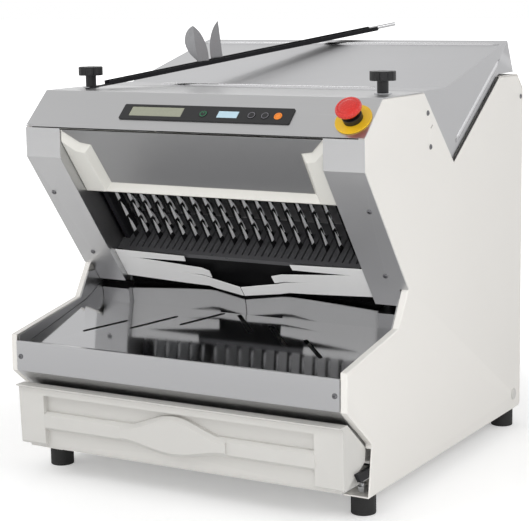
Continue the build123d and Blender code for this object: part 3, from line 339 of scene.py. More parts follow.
# %% [markdown]
# Real sheet metal has no knife edges: a folded corner has the radius of the press brake's tool, and
# a cut rim is broken with a file. The CAD model keeps nearly all of them sharp. Each piece that
# shows is therefore copied, its flat triangles are joined into whole faces, the long folds are
# rounded first, and the rims after them with a narrow bevel. Both cut outer corners off and fill
# inner ones, so no piece gets larger outside.

# %% Helper that softens one piece
FOLD_LENGTH = 0.035
FOLD_WIDTH = 0.005
FOLD_ANGLE = math.radians(12)
FOLD_STEPS = 3
RIM_ANGLE = math.radians(42)
RIM_STEPS = 2
JOIN_DISTANCE = 2e-6
FLAT_ANGLE = math.radians(0.4)


def merged_copy(node):
    shape = bmesh.new()
    shape.from_mesh(NODES[node].data)
    bmesh.ops.remove_doubles(shape, verts=shape.verts, dist=JOIN_DISTANCE)
    bmesh.ops.dissolve_limit(shape, angle_limit=FLAT_ANGLE, verts=shape.verts,
                             edges=shape.edges, delimit={"NORMAL"})
    return shape


def is_fold(edge):
    if len(edge.link_faces) != 2 or edge.calc_length() < FOLD_LENGTH:
        return False
    if edge.calc_face_angle(0.0) < FOLD_ANGLE:
        return False
    return all(f.calc_area() / edge.calc_length() > FOLD_WIDTH for f in edge.link_faces)


def plain_piece(name, source, body):
    graph = bpy.context.evaluated_depsgraph_get()
    mesh = bpy.data.meshes.new_from_object(source.evaluated_get(graph), depsgraph=graph,
                                           preserve_all_data_layers=True)
    mesh.name = name
    piece = bpy.data.objects.new(name, mesh)
    bpy.context.scene.collection.objects.link(piece)
    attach(piece, body)
    bpy.data.objects.remove(source)
    return piece


# The guard plate gets darker steel than its slot: painted shade.
OTHER_FINISH = {"guard_plate": "dull_sheet_shaded", "loading_cover": "cover_sheet",
                # The scoop's leaves get darker steel too: painted shade.
                "scoop_fins": "leaf_sheet_shaded", "support_grid": "grid_black",
                "finger_clamps": "grid_black"}


def softened(node, rim, fold):
    shape = merged_copy(node)
    folds = [e for e in shape.edges if is_fold(e)] if fold else []
    if folds:
        bmesh.ops.bevel(shape, geom=folds, offset=fold, offset_type="OFFSET", segments=FOLD_STEPS,
                        profile=0.5, affect="EDGES", clamp_overlap=True)
    mesh = bpy.data.meshes.new(node + "_soft")
    shape.to_mesh(mesh)
    shape.free()
    mesh.shade_smooth()
    mesh.materials.append(FINISH[OTHER_FINISH.get(node, SLOT_OF[node])])
    source = bpy.data.objects.new(node + "_source", mesh)
    bpy.context.scene.collection.objects.link(source)
    bevel = source.modifiers.new("rims", "BEVEL")
    bevel.width = rim
    bevel.segments = RIM_STEPS
    bevel.limit_method = "ANGLE"
    bevel.angle_limit = RIM_ANGLE
    even = source.modifiers.new("flat faces stay flat", "WEIGHTED_NORMAL")
    even.weight = 100
    cut = source.modifiers.new("triangles", "TRIANGULATE")
    cut.keep_custom_normals = True
    piece = plain_piece(node + "_finished", source, BODY_OF[node])
    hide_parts(node)
    return piece


print("helper ready:", softened.__name__)

# %% [markdown]
# Each piece gets two widths in metres: that of its rim, and that of its folds, which is nought
# where no fold is rounded. Moulded pieces such as the drawer and the knobs get wide ones, and
# thin sheet gets narrow ones.

# %% Soften the pieces that show
SOFT = {
    "right_side_panel": (0.0006, 0.0012), "left_side_panel": (0.0006, 0.0012),
    "front_hood": (0.0003, 0.0018), "right_column": (0.0003, 0.0022),
    "left_column": (0.0003, 0.0022), "guard_liner": (0.0005, 0.0015),
    "guard_plate": (0.0002, 0.0), "display_bezel": (0.0003, 0.0),
    "loading_cover": (0.0004, 0.0040), "rear_panel": (0.0005, 0.001),
    "slotted_table": (0.0003, 0.0012), "table_cheeks": (0.0003, 0.001),
    "crumb_drawer": (0.0012, 0.0080), "right_fingers": (0.0005, 0.0),
    "left_fingers": (0.0005, 0.0), "finger_clamps": (0.0003, 0.0),
    "support_grid": (0.0002, 0.0), "blade_frame_a": (0.0004, 0.0),
    "blade_frame_b": (0.0004, 0.0), "scoop_carrier": (0.0005, 0.0008),
    "scoop_fins": (0.0003, 0.0), "scoop_pads": (0.0004, 0.0),
    "right_knob": (0.0022, 0.0), "left_knob": (0.0022, 0.0),
    "stop_ring": (0.0005, 0.0), "stop_body": (0.0006, 0.0),
    "rubber_feet": (0.0015, 0.0), "power_key": (0.0004, 0.0),
    "minus_key": (0.0004, 0.0), "plus_key": (0.0004, 0.0),
    "stop_key": (0.0004, 0.0), "knob_washers": (0.0003, 0.0),
    "power_inlet": (0.0006, 0.0), "hole_plugs": (0.0005, 0.0),
    "loading_chute": (0.0004, 0.0), "pusher": (0.0005, 0.0),
    "cover_leaves": (0.0003, 0.0), "cover_hinges": (0.0003, 0.0),
    "drawer_runners": (0.0003, 0.0), "lcd_window": (0.0002, 0.0),
}
SOFTENED = {node: softened(node, *widths) for node, widths in SOFT.items()}
print("pieces softened:", len(SOFTENED),
      "triangles:", sum(len(piece.data.polygons) for piece in SOFTENED.values()))

# %% [markdown]
# The sheet under the apron folds back towards the drawer. Unlike the polished table above, this
# strip is satin, so its faces, all below the apron's lower fold, get the satin finish.

# %% Satin bevel under the apron
APRON_FOLD_HEIGHT = 0.1765
table = SOFTENED["slotted_table"]
table.data.materials.append(FINISH["stainless"])
satin = 0
for face in table.data.polygons:
    if face.center.z < APRON_FOLD_HEIGHT:
        face.material_index = 1
        satin += 1
print("satin faces under the apron:", satin)

# %% [markdown]
# The blades and the grid under them lie on a slope, and the control face on another. Places on
# either are easiest to give as steps along it, so each gets an origin and two directions, taken
# from the CAD model in its millimetres, and a helper turns them into the scene's metres. The
# packing centred the model from front to back, which the shift in y allows for.

# %% Frames of the two slopes
SHIFT_Y = -81.308
CUT_ORIGIN = Vector((0, -213.6, 512.4))
CUT_DOWN = Vector((0, 0.6007, -0.7995))
CUT_IN = Vector((0, 0.7995, 0.6007))
FACE_ORIGIN = Vector((0, -213.6, 560.6))
FACE_UP = Vector((0, 0.7363, 0.6767))
FACE_OUT = Vector((0, -0.6767, 0.7363))


def in_scene(point):
    return Vector((point.x, point.y + SHIFT_Y, point.z)) / 1000


def on_cut(x, s, n):
    return in_scene(CUT_ORIGIN + Vector((x, 0, 0)) + CUT_DOWN * s + CUT_IN * n)


def on_face(x, t, h):
    return in_scene(FACE_ORIGIN + Vector((x, 0, 0)) + FACE_UP * t + FACE_OUT * h)


print("origins in metres:", in_scene(CUT_ORIGIN), in_scene(FACE_ORIGIN))

# %% [markdown]
# The support grid is one black piece, but its slotted plate, over which the loaf slides, is given
# a lighter grey and a little shine, while the skirt below it isn't. The lighter grey is painted
# light, where the plate's bars catch it. The plate's faces lie in a narrow band down the slope, so
# they are picked by their place and get a second finish on the same mesh.

# %% Painted light on the grid's plate
PLATE_BAND = (212, 236)
grid = SOFTENED["support_grid"]
grid.data.materials.append(FINISH["grid_teeth"])
lit_plate_faces = 0
for face in grid.data.polygons:
    y = face.center.y * 1000 - SHIFT_Y - CUT_ORIGIN.y
    z = face.center.z * 1000 - CUT_ORIGIN.z
    if PLATE_BAND[0] < CUT_DOWN.y * y + CUT_DOWN.z * z < PLATE_BAND[1]:
        face.material_index = 1
        lit_plate_faces += 1
print("worn faces on the grid:", lit_plate_faces, "of", len(grid.data.polygons))

# %% [markdown]
# Screws and blades repeat, so each is drawn once and set out by one small node tree: it puts a copy
# on every point, turned as that point says, makes the copies real and gives them their finish. The
# result is turned into a plain mesh, one for each body, so that nothing depends on the tree later.

# %% The tree that places copies


def make_copies_tree():
    tree = bpy.data.node_groups.new("place_copies", "GeometryNodeTree")
    tree.is_modifier = True
    for label, kind in (("Geometry", "NodeSocketGeometry"), ("Copy", "NodeSocketObject"),
                        ("Body Finish", "NodeSocketMaterial"),
                        ("Highlight Finish", "NodeSocketMaterial")):
        tree.interface.new_socket(name=label, in_out="INPUT", socket_type=kind)
    tree.interface.new_socket(name="Geometry", in_out="OUTPUT", socket_type="NodeSocketGeometry")
    given = tree.nodes.new("NodeGroupInput")
    result = tree.nodes.new("NodeGroupOutput")
    shape = tree.nodes.new("GeometryNodeObjectInfo")
    turn = tree.nodes.new("GeometryNodeInputNamedAttribute")
    turn.data_type = "FLOAT_VECTOR"
    turn.inputs["Name"].default_value = "turn"
    aim = tree.nodes.new("FunctionNodeEulerToRotation")
    setting = tree.nodes.new("GeometryNodeInstanceOnPoints")
    real = tree.nodes.new("GeometryNodeRealizeInstances")
    body = tree.nodes.new("GeometryNodeSetMaterial")
    ground = tree.nodes.new("GeometryNodeSetMaterial")
    # Faces marked in the attribute get the second finish, the painted highlights on the blades.
    where = tree.nodes.new("GeometryNodeInputNamedAttribute")
    where.data_type = "BOOLEAN"
    where.inputs["Name"].default_value = "ground"
    links = tree.links
    links.new(given.outputs["Copy"], shape.inputs["Object"])
    links.new(given.outputs["Geometry"], setting.inputs["Points"])
    links.new(shape.outputs["Geometry"], setting.inputs["Instance"])
    links.new(turn.outputs["Attribute"], aim.inputs["Euler"])
    links.new(aim.outputs["Rotation"], setting.inputs["Rotation"])
    links.new(setting.outputs["Instances"], real.inputs["Geometry"])
    links.new(real.outputs["Geometry"], body.inputs["Geometry"])
    links.new(given.outputs["Body Finish"], body.inputs["Material"])
    links.new(body.outputs["Geometry"], ground.inputs["Geometry"])
    links.new(where.outputs["Attribute"], ground.inputs["Selection"])
    links.new(given.outputs["Highlight Finish"], ground.inputs["Material"])
    links.new(ground.outputs["Geometry"], result.inputs["Geometry"])
    return tree


COPIES = make_copies_tree()
COPIES_SOCKETS = {item.name: item.identifier for item in COPIES.interface.items_tree
                  if item.in_out == "INPUT"}


def set_out(name, shape, spots, body, finish_name, highlight_finish_name=None):
    mesh = bpy.data.meshes.new(name + "_points")
    mesh.from_pydata([place for place, _ in spots], [], [])
    turns = mesh.attributes.new("turn", "FLOAT_VECTOR", "POINT")
    for i, (_, turn) in enumerate(spots):
        turns.data[i].vector = turn
    source = bpy.data.objects.new(name + "_points", mesh)
    bpy.context.scene.collection.objects.link(source)
    copies = source.modifiers.new("copies", "NODES")
    copies.node_group = COPIES
    copies[COPIES_SOCKETS["Copy"]] = shape
    copies[COPIES_SOCKETS["Body Finish"]] = FINISH[finish_name]
    copies[COPIES_SOCKETS["Highlight Finish"]] = FINISH[highlight_finish_name or finish_name]
    piece = plain_piece(name, source, body)
    print(name, "copies:", len(spots), "faces:", len(piece.data.polygons))
    return piece


print("tree made:", COPIES.name)

# %% [markdown]
# The screws are low button heads with a cross recess. Rings of points, one above the other, give
# the head its round side. The recess is a cross-shaped pit with leaning walls, and the flat top
# between the pit and the last ring is filled with triangles. Light catches the pit's walls the way
# it does on a real head.

# %% Draw one screw head
SCREW_RADIUS, SCREW_HEIGHT = 0.0042, 0.0020
SCREW_STEPS = 24
SCREW_PROFILE = ((1.0, 0.0), (1.0, 0.35), (0.86, 0.75), (0.6, 1.0))
RECESS_HALF_WIDTH, RECESS_REACH = 0.11, 0.42
RECESS_NARROWING, RECESS_FLOOR = 0.8, 0.35


def object_from(name, shape):
    mesh = bpy.data.meshes.new(name)
    shape.to_mesh(mesh)
    shape.free()
    thing = bpy.data.objects.new(name, mesh)
    bpy.context.scene.collection.objects.link(thing)
    return thing


def loop_edges(shape, loop):
    return [shape.edges.get((loop[i], loop[(i + 1) % len(loop)])) for i in range(len(loop))]


def screw_shape(radius, height):
    shape = bmesh.new()
    rings = []
    for wide, high in SCREW_PROFILE:
        r, z = radius * wide, height * high
        rings.append([shape.verts.new((r * math.cos(a), r * math.sin(a), z))
                      for a in (math.tau * i / SCREW_STEPS for i in range(SCREW_STEPS))])
    for low, high in zip(rings, rings[1:]):
        for i in range(SCREW_STEPS):
            j = (i + 1) % SCREW_STEPS
            shape.faces.new((low[i], low[j], high[j], high[i]))
    shape.faces.new(list(reversed(rings[0])))
    w, reach = radius * RECESS_HALF_WIDTH, radius * RECESS_REACH
    cross = ((w, w), (w, reach), (-w, reach), (-w, w), (-reach, w), (-reach, -w),
             (-w, -w), (-w, -reach), (w, -reach), (w, -w), (reach, -w), (reach, w))
    top = [shape.verts.new((x, y, height)) for x, y in cross]
    deep = [shape.verts.new((x * RECESS_NARROWING, y * RECESS_NARROWING, height * RECESS_FLOOR))
            for x, y in cross]
    for i in range(len(cross)):
        j = (i + 1) % len(cross)
        shape.faces.new((top[j], top[i], deep[i], deep[j]))
    shape.faces.new(deep)
    bmesh.ops.triangle_fill(shape, use_beauty=True, normal=(0, 0, 1),
                            edges=loop_edges(shape, rings[-1]) + loop_edges(shape, top))
    bmesh.ops.recalc_face_normals(shape, faces=shape.faces)
    return shape


screw_head = object_from("screw_head", screw_shape(SCREW_RADIUS, SCREW_HEIGHT))
print("faces on one screw head:", len(screw_head.data.polygons))

# %% [markdown]
# The same screw is used everywhere: two on each column, one at each end of the apron and three on
# each side panel. Each place is given for the right side in the CAD model's millimetres and taken
# over to the left side by its sign. The old and the new pieces' boxes are printed, to show that
# the new heads sit where the CAD model has them.

# %% Set the screws out
QUARTER = math.pi / 2
COLUMN_SCREWS = ((284.0, 78.0), (270.0, 214.0))
APRON_SCREW = (280.5, -273.0, 200.0)
PANEL_FACE_X = 300.0
PANEL_SCREWS = ((1.4, 580.6), (11.9, 528.3), (388.7, 580.6))


def box_of(piece):
    return [round(pick(v.co[axis] for v in piece.data.vertices), 4)
            for pick in (min, max) for axis in range(3)]


cut_turn = (-CUT_IN).to_track_quat("Z", "Y").to_euler()
screw_spots = []
for side in (-1, 1):
    for x, s in COLUMN_SCREWS:
        screw_spots.append((on_cut(side * x, s, 0.0), cut_turn))
    x, y, z = APRON_SCREW
    screw_spots.append((in_scene(Vector((side * x, y, z))), (QUARTER, 0, 0)))
    for y, z in PANEL_SCREWS:
        place = in_scene(Vector((side * PANEL_FACE_X, y, z)))
        screw_spots.append((place, (0, side * QUARTER, 0)))
screws = set_out("machine_screws_slotted", screw_head, screw_spots, "machine",
                 "screw_steel")
bpy.data.objects.remove(screw_head)
low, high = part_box("machine_screws")
print("screws' box in the CAD:", [round(v, 4) for v in (*low, *high)])
print("screws' box here:", box_of(screws))
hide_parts("machine_screws")

# %% [markdown]
# Each blade is a black coated strip with a toothed cutting edge. Pale, flame-shaped facets on it
# are painted highlights, where the teeth catch the light. One is drawn for every two teeth, a hair
# proud of the strip's two sides. Strip and facets are drawn once, and the tree sets a copy on each
# blade's place.

# %% Draw one blade and set out both frames' blades
BLADE_TOP, BLADE_END, BLADE_WIDTH = 36.0, 320.0, 12.0
TOOTH_PITCH, TOOTH_DEPTH, TOOTH_FIRST, TOOTH_COUNT = 18.0, 1.6, 74.0, 8
GULLET_SHARES = (0.3, 0.5, 0.7)
FACET_SHAPE = ((-16, -6.6), (-31, -4.2), (-18, -0.8), (-8, 0), (1.5, 0), (0, -7.5))
BLADE_SIDE, FACET_SIDE = 0.00036, 0.0004
BLADE_DEPTHS = {"blades_a": 45.0, "blades_b": 63.0}


def prism(shape, outline, x_low, x_high):
    low = [shape.verts.new((x_low, s, n)) for s, n in outline]
    high = [shape.verts.new((x_high, s, n)) for s, n in outline]
    shape.faces.new(list(reversed(low)))
    shape.faces.new(high)
    for i in range(len(outline)):
        j = (i + 1) % len(outline)
        shape.faces.new((low[i], low[j], high[j], high[i]))


def blade_outline():
    points = [(BLADE_TOP, 0.0), (BLADE_END, 0.0), (BLADE_END, BLADE_WIDTH)]
    for i in range(TOOTH_COUNT, 0, -1):
        s = TOOTH_FIRST + i * TOOTH_PITCH
        points.append((s, BLADE_WIDTH))
        for share in GULLET_SHARES:
            cut = TOOTH_DEPTH * math.sin(math.pi * share)
            points.append((s - share * TOOTH_PITCH, BLADE_WIDTH - cut))
    points += [(TOOTH_FIRST, BLADE_WIDTH), (BLADE_TOP, BLADE_WIDTH)]
    return [(s / 1000, n / 1000) for s, n in points]


def facet_outline(s):
    edge = BLADE_WIDTH - TOOTH_DEPTH
    return [((s + along) / 1000, (edge + up) / 1000) for along, up in FACET_SHAPE]


def blade_shape():
    shape = bmesh.new()
    prism(shape, blade_outline(), -BLADE_SIDE, BLADE_SIDE)
    plain = len(shape.faces)
    for i in range(1, TOOTH_COUNT + 1, 2):
        prism(shape, facet_outline(TOOTH_FIRST + (i + 0.5) * TOOTH_PITCH), -FACET_SIDE, FACET_SIDE)
    bmesh.ops.recalc_face_normals(shape, faces=shape.faces)
    marks = [i >= plain for i in range(len(shape.faces))]
    return shape, marks


def blade_centres(node):
    sides = sorted({round(v.co.x * 1000, 1) for v in NODES[node].data.vertices})
    return [(a + b) / 2 for a, b in zip(sides[::2], sides[1::2])]


shape, marks = blade_shape()
one_blade = object_from("one_blade", shape)
ground = one_blade.data.attributes.new("ground", "BOOLEAN", "FACE")
for i, mark in enumerate(marks):
    ground.data[i].value = mark
blade_turn = Matrix((Vector((1, 0, 0)), CUT_DOWN, CUT_IN)).transposed().to_euler()
for node, depth in BLADE_DEPTHS.items():
    spots = [(on_cut(x, 0, depth), blade_turn) for x in blade_centres(node)]
    blades = set_out(node + "_ground", one_blade, spots, BODY_OF[node],
                     "blade_steel", "blade_painted_highlight")
    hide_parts(node)
bpy.data.objects.remove(one_blade)

# %% [markdown]
# The keys are flat buttons with a printed outline, and between them the strip has a pale, unlit
# window. The prints are rings six hundredths of a millimetre thick that lie on the keys and move
# with them, which keeps the outline crisp at any zoom. The power key's ring is open at the top,
# where a short stroke stands.

# %% Helpers for flat shapes on the control face
PRINT_THICKNESS = 0.06
CIRCLE_STEPS, FEWEST_STEPS = 48, 12
BLOCK_FACES = ((3, 2, 1, 0), (4, 5, 6, 7), (0, 1, 5, 4), (1, 2, 6, 5), (2, 3, 7, 6), (3, 0, 4, 7))


def dressed(piece, finish_name, body, slot):
    piece.data.materials.append(FINISH[finish_name])
    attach(piece, body)
    return piece


def flat_ring(name, x, t, height, radius, width, start, sweep, body, finish_name, slot):
    shape = bmesh.new()
    steps = max(FEWEST_STEPS, int(CIRCLE_STEPS * sweep / math.tau))
    inner, top = radius - width, height + PRINT_THICKNESS
    loops = []
    for r, h in ((inner, height), (radius, height), (radius, top), (inner, top)):
        loops.append([shape.verts.new(on_face(x + r * math.cos(a), t + r * math.sin(a), h))
                      for a in (start + sweep * i / steps for i in range(steps + 1))])
    whole = abs(sweep - math.tau) < 1e-6
    if whole:
        for loop in loops:
            shape.verts.remove(loop.pop())
    count = len(loops[0])
    for i in range(count if whole else count - 1):
        j = (i + 1) % count
        for a, b in zip(loops, loops[1:] + loops[:1]):
            shape.faces.new((a[i], a[j], b[j], b[i]))
    if not whole:
        shape.faces.new([loop[0] for loop in loops])
        shape.faces.new([loop[-1] for loop in reversed(loops)])
    bmesh.ops.recalc_face_normals(shape, faces=shape.faces)
    return dressed(object_from(name, shape), finish_name, body, slot)


def face_block(name, across, along, heights, soft, body, finish_name, slot):
    shape = bmesh.new()
    (x_low, x_high), (t_low, t_high) = across, along
    corners = [shape.verts.new(on_face(x, t, h)) for h in heights
               for x, t in ((x_low, t_low), (x_high, t_low), (x_high, t_high), (x_low, t_high))]
    for face in BLOCK_FACES:
        shape.faces.new([corners[i] for i in face])
    bmesh.ops.bevel(shape, geom=shape.edges[:], offset=soft, segments=2, affect="EDGES",
                    clamp_overlap=True)
    bmesh.ops.recalc_face_normals(shape, faces=shape.faces)
    return dressed(object_from(name, shape), finish_name, body, slot)


print("helpers ready:", flat_ring.__name__, face_block.__name__)

# %% Printed outlines and the pale window
KEY_T, KEY_TOP = 35.5, 2.9
POWER_X, POWER_RADIUS, POWER_WIDTH = 18, 5.6, 1.0
POWER_START, POWER_SWEEP = math.radians(115), math.radians(310)
STROKE_HALF, STROKE_START, PRINT_SINK = 0.5, 0.8, 0.02
WINDOW_X, WINDOW_T, WINDOW_HEIGHTS = (43.5, 78.5), (29.0, 42.0), (2.0, 2.32)
ROUND_PRINTS = (("minus", 102, 5.7, 0.7, "pale_print", "black_plastic"),
                ("plus", 125, 5.7, 0.7, "pale_print", "black_plastic"),
                ("stop", 147, 4.4, 0.5, "orange_print", "orange_plastic"))
flat_ring("power_outline", POWER_X, KEY_T, KEY_TOP, POWER_RADIUS, POWER_WIDTH, POWER_START,
          POWER_SWEEP, "power_key", "green_print", "black_plastic")
face_block("power_stroke", (POWER_X - STROKE_HALF, POWER_X + STROKE_HALF),
           (KEY_T + STROKE_START, KEY_T + POWER_RADIUS),
           (KEY_TOP - PRINT_SINK, KEY_TOP + PRINT_THICKNESS), soft=0.00002,
           body="power_key", finish_name="green_print", slot="black_plastic")
for key, x, radius, width, ink, slot in ROUND_PRINTS:
    flat_ring(key + "_outline", x, KEY_T, KEY_TOP, radius, width, 0, math.tau, key + "_key", ink,
              slot)
face_block("pale_window", WINDOW_X, WINDOW_T, WINDOW_HEIGHTS, soft=0.0001, body="machine",
           finish_name="pale_window", slot="lcd")
print("outlines:", 1 + len(ROUND_PRINTS))

# %% [markdown]
# The cover is stiffened by pressed beads: long half-round ridges with ends that run out softly. A
# bead is drawn as a row of half ellipses along its line, which shrink towards both ends, and it is
# closed underneath, where it sinks into the sheet. Its finish is a lighter, glossier copy of the
# cover's steel, and the lighter colour is a painted highlight.

# %% Beads on the loading cover
BEAD_RUNS = (0.0, 0.12, 0.35, 0.7, 1.2)
BEAD_STEPS = 10
BEAD_LEAST = 0.06
BEAD_SINK = 0.4
BEAD_SHARP = math.radians(50)


def bead(name, start, end, out, width, height):
    start, end, out = Vector(start), Vector(end), Vector(out).normalized()
    along = (end - start).normalized()
    across = along.cross(out)
    length = (end - start).length
    soft_end = BEAD_RUNS[-1] * width
    places = [r * width for r in BEAD_RUNS] + [length - r * width for r in reversed(BEAD_RUNS)]
    shape = bmesh.new()
    rings = []
    for place in places:
        fade = min(place, length - place, soft_end) / soft_end
        scale = max(BEAD_LEAST, math.sqrt(1 - (1 - fade) ** 2))
        ring = []
        for i in range(BEAD_STEPS + 1):
            a = math.pi * i / BEAD_STEPS
            side = across * (math.cos(a) * width / 2 * scale)
            lift = out * (math.sin(a) * height * scale - BEAD_SINK)
            ring.append(shape.verts.new(in_scene(start + along * place + side + lift)))
        rings.append(ring)
    for a, b in zip(rings, rings[1:]):
        for i in range(BEAD_STEPS):
            shape.faces.new((a[i], a[i + 1], b[i + 1], b[i]))
        shape.faces.new((a[-1], a[0], b[0], b[-1]))
    shape.faces.new(list(reversed(rings[0])))
    shape.faces.new(rings[-1])
    bmesh.ops.recalc_face_normals(shape, faces=shape.faces)
    ridge = object_from(name, shape)
    ridge.data.shade_smooth()
    ridge.data.set_sharp_from_angle(angle=BEAD_SHARP)
    return dressed(ridge, "bead_sheet_highlit", "cover", "stainless")


GRADE = 64.0 / 256.0
COVER_Z, RIDGE_RUN, LIFT = 614, 230.5, 0.4
FRONT_HALF, FRONT_Y, FRONT_Z = 199, 24.5, 614.4
RIDGE_HALF, RIDGE_Y, RIDGE_Z = 283, 311.5, COVER_Z + RIDGE_RUN * GRADE + LIFT
SKIRT_X, SKIRT_FOOT, SKIRT_HEAD = 295.0, (123, 529), (300, 644.5)
bead("front_bead", (-FRONT_HALF, FRONT_Y, FRONT_Z), (FRONT_HALF, FRONT_Y, FRONT_Z),
     (0, 0, 1), width=9, height=3.2)
bead("ridge_bead", (-RIDGE_HALF, RIDGE_Y, RIDGE_Z), (RIDGE_HALF, RIDGE_Y, RIDGE_Z),
     (0, -GRADE, 1), width=9, height=2.6)
for side, label in ((-1, "left"), (1, "right")):
    bead("skirt_bead_" + label, (side * SKIRT_X, *SKIRT_FOOT), (side * SKIRT_X, *SKIRT_HEAD),
         (side, 0, 0), width=10, height=1.5)
print("beads made, the cover's slope is", GRADE)

# %% [markdown]
# A black line runs behind the rear edge of each side panel's notch, where the gap to the cover lies
# in shade. It is drawn as a black strip that narrows the gap: thin, with a bevelled lip, and fixed
# to the panel's inner face. Its black is painted shade.

# %% Black strips for the shade in the panels' notches
STRIP_FOOT, STRIP_HEAD = Vector((0, 107.0, 496.5)), Vector((0, 292.5, 617.6))
STRIP_SECTION = ((296.7, -4.0), (298.0, -4.0), (298.0, 2.6), (297.6, 3.4), (297.1, 3.4),
                 (296.7, 2.6))


# The strip's black stands in for the shade in the gap: painted shade.
def shade_strip(name, side):
    along = (STRIP_HEAD - STRIP_FOOT).normalized()
    up = Vector((0, -along.z, along.y))
    shape = bmesh.new()
    ends = []
    for point in (STRIP_FOOT, STRIP_HEAD):
        ends.append([shape.verts.new(in_scene(point + up * lift + Vector((side * x, 0, 0))))
                     for x, lift in STRIP_SECTION])
    for i in range(len(STRIP_SECTION)):
        j = (i + 1) % len(STRIP_SECTION)
        shape.faces.new((ends[0][i], ends[0][j], ends[1][j], ends[1][i]))
    shape.faces.new(list(reversed(ends[0])))
    shape.faces.new(ends[1])
    bmesh.ops.recalc_face_normals(shape, faces=shape.faces)
    return dressed(object_from(name, shape), "rubber_black", "machine", "rubber_black")


shade_strip("notch_strip_left", -1)
shade_strip("notch_strip_right", 1)
print("edge strips made, length in mm:", round((STRIP_HEAD - STRIP_FOOT).length, 1))

# %% [markdown]
# The emergency stop's mushroom head is a turned shape, so its outline is drawn once as a profile
# and spun round the button's axis: a rolled rim, a shallow groove and a slightly domed cap.

# %% Turn the mushroom head
HEAD_STEPS = 64
HEAD_SHARP = math.radians(55)
HEAD_PROFILE = ((0, 17.3), (12.5, 17.3), (15.5, 18.4), (18.2, 20.2), (19.6, 22.4), (19.95, 24.6),
                (19.5, 26.8), (18.2, 28.6), (16.4, 29.7), (15.2, 29.9), (14.6, 29.2),
                (13.9, 29.2), (13.2, 29.9), (9.0, 30.6), (4.0, 30.9), (0, 30.95))
STOP_X, STOP_T = 270, 35.0


def turned(name, profile, centre, out, body, finish_name, slot):
    out = Vector(out).normalized()
    side = Vector((1, 0, 0))
    other = out.cross(side)
    shape = bmesh.new()
    rings = []
    for r, h in profile:
        if r == 0:
            rings.append([shape.verts.new(in_scene(centre + out * h))])
            continue
        ring = []
        for i in range(HEAD_STEPS):
            a = math.tau * i / HEAD_STEPS
            spot = centre + out * h + side * (r * math.cos(a)) + other * (r * math.sin(a))
            ring.append(shape.verts.new(in_scene(spot)))
        rings.append(ring)
    for low, high in zip(rings, rings[1:]):
        for i in range(HEAD_STEPS):
            j = (i + 1) % HEAD_STEPS
            if len(low) == 1:
                shape.faces.new((low[0], high[j], high[i]))
            elif len(high) == 1:
                shape.faces.new((low[i], low[j], high[0]))
            else:
                shape.faces.new((low[i], low[j], high[j], high[i]))
    bmesh.ops.recalc_face_normals(shape, faces=shape.faces)
    piece = object_from(name, shape)
    piece.data.shade_smooth()
    piece.data.set_sharp_from_angle(angle=HEAD_SHARP)
    return dressed(piece, finish_name, body, slot)


stop_centre = FACE_ORIGIN + Vector((STOP_X, 0, 0)) + FACE_UP * STOP_T
head = turned("stop_head_turned", HEAD_PROFILE, stop_centre, FACE_OUT, "stop_head", "red_plastic",
              "red_plastic")
low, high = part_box("stop_head")
print("head's box in the CAD:", [round(v, 4) for v in (*low, *high)])
print("head's box here:", box_of(head))
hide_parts("stop_head")

# %% [markdown]
# The scoop's carrier is painted, but its round grip is bare steel. The faces of the grip lie beyond
# the end of the bar, so they are found by their distance from the tip.

# %% Bare steel grip on the scoop's carrier
TIP, TAIL = Vector((-240.0, -131.0, 614.6)), Vector((17.0, 393.0, 692.5))
GRIP_GAP = 0.0045
bar_line = (in_scene(TAIL) - in_scene(TIP)).normalized()
bar_length = (TAIL - TIP).length / 1000
carrier = SOFTENED["scoop_carrier"]
carrier.data.materials.append(FINISH["rod_steel"])
bare = 0
for face in carrier.data.polygons:
    if (face.center - in_scene(TIP)).dot(bar_line) > bar_length + GRIP_GAP:
        face.material_index = 1
        bare += 1
print("bare faces on the grip:", bare)

# %% [markdown]
# Satin steel only looks like steel when it has something to reflect. A light tent gives it white
# walls at the height of the eye and a greyer ceiling, which is where a sheet that leans back looks.
# The backdrop is white only where the camera or a reflection sees it directly, and other rays get
# a weaker light from it, so no lamp has to be turned up to make the picture's background white.

# %% Helpers for what a ray sees


def seen_directly(tree):
    rays = tree.nodes.new("ShaderNodeLightPath")
    first = tree.nodes.new("ShaderNodeMath")
    first.operation = "MAXIMUM"
    tree.links.new(rays.outputs["Is Camera Ray"], first.inputs[0])
    tree.links.new(rays.outputs["Is Glossy Ray"], first.inputs[1])
    both = tree.nodes.new("ShaderNodeMath")
    both.operation = "MAXIMUM"
    tree.links.new(first.outputs[0], both.inputs[0])
    tree.links.new(rays.outputs["Is Transmission Ray"], both.inputs[1])
    return both.outputs[0], rays.outputs["Is Camera Ray"]


def ranged(tree, source, from_low, from_high, to_low, to_high):
    node = tree.nodes.new("ShaderNodeMapRange")
    node.interpolation_type = "SMOOTHSTEP"
    node.inputs["From Min"].default_value = from_low
    node.inputs["From Max"].default_value = from_high
    node.inputs["To Min"].default_value = to_low
    node.inputs["To Max"].default_value = to_high
    tree.links.new(source, node.inputs["Value"])
    return node.outputs["Result"]


def mixed_floats(tree, factor, first, second):
    node = tree.nodes.new("ShaderNodeMix")
    for value, socket in ((first, node.inputs["A"]), (second, node.inputs["B"])):
        if isinstance(value, float):
            socket.default_value = value
        else:
            tree.links.new(value, socket)
    tree.links.new(factor, node.inputs["Factor"])
    return node.outputs["Result"]


print("helpers ready:", seen_directly.__name__, ranged.__name__, mixed_floats.__name__)

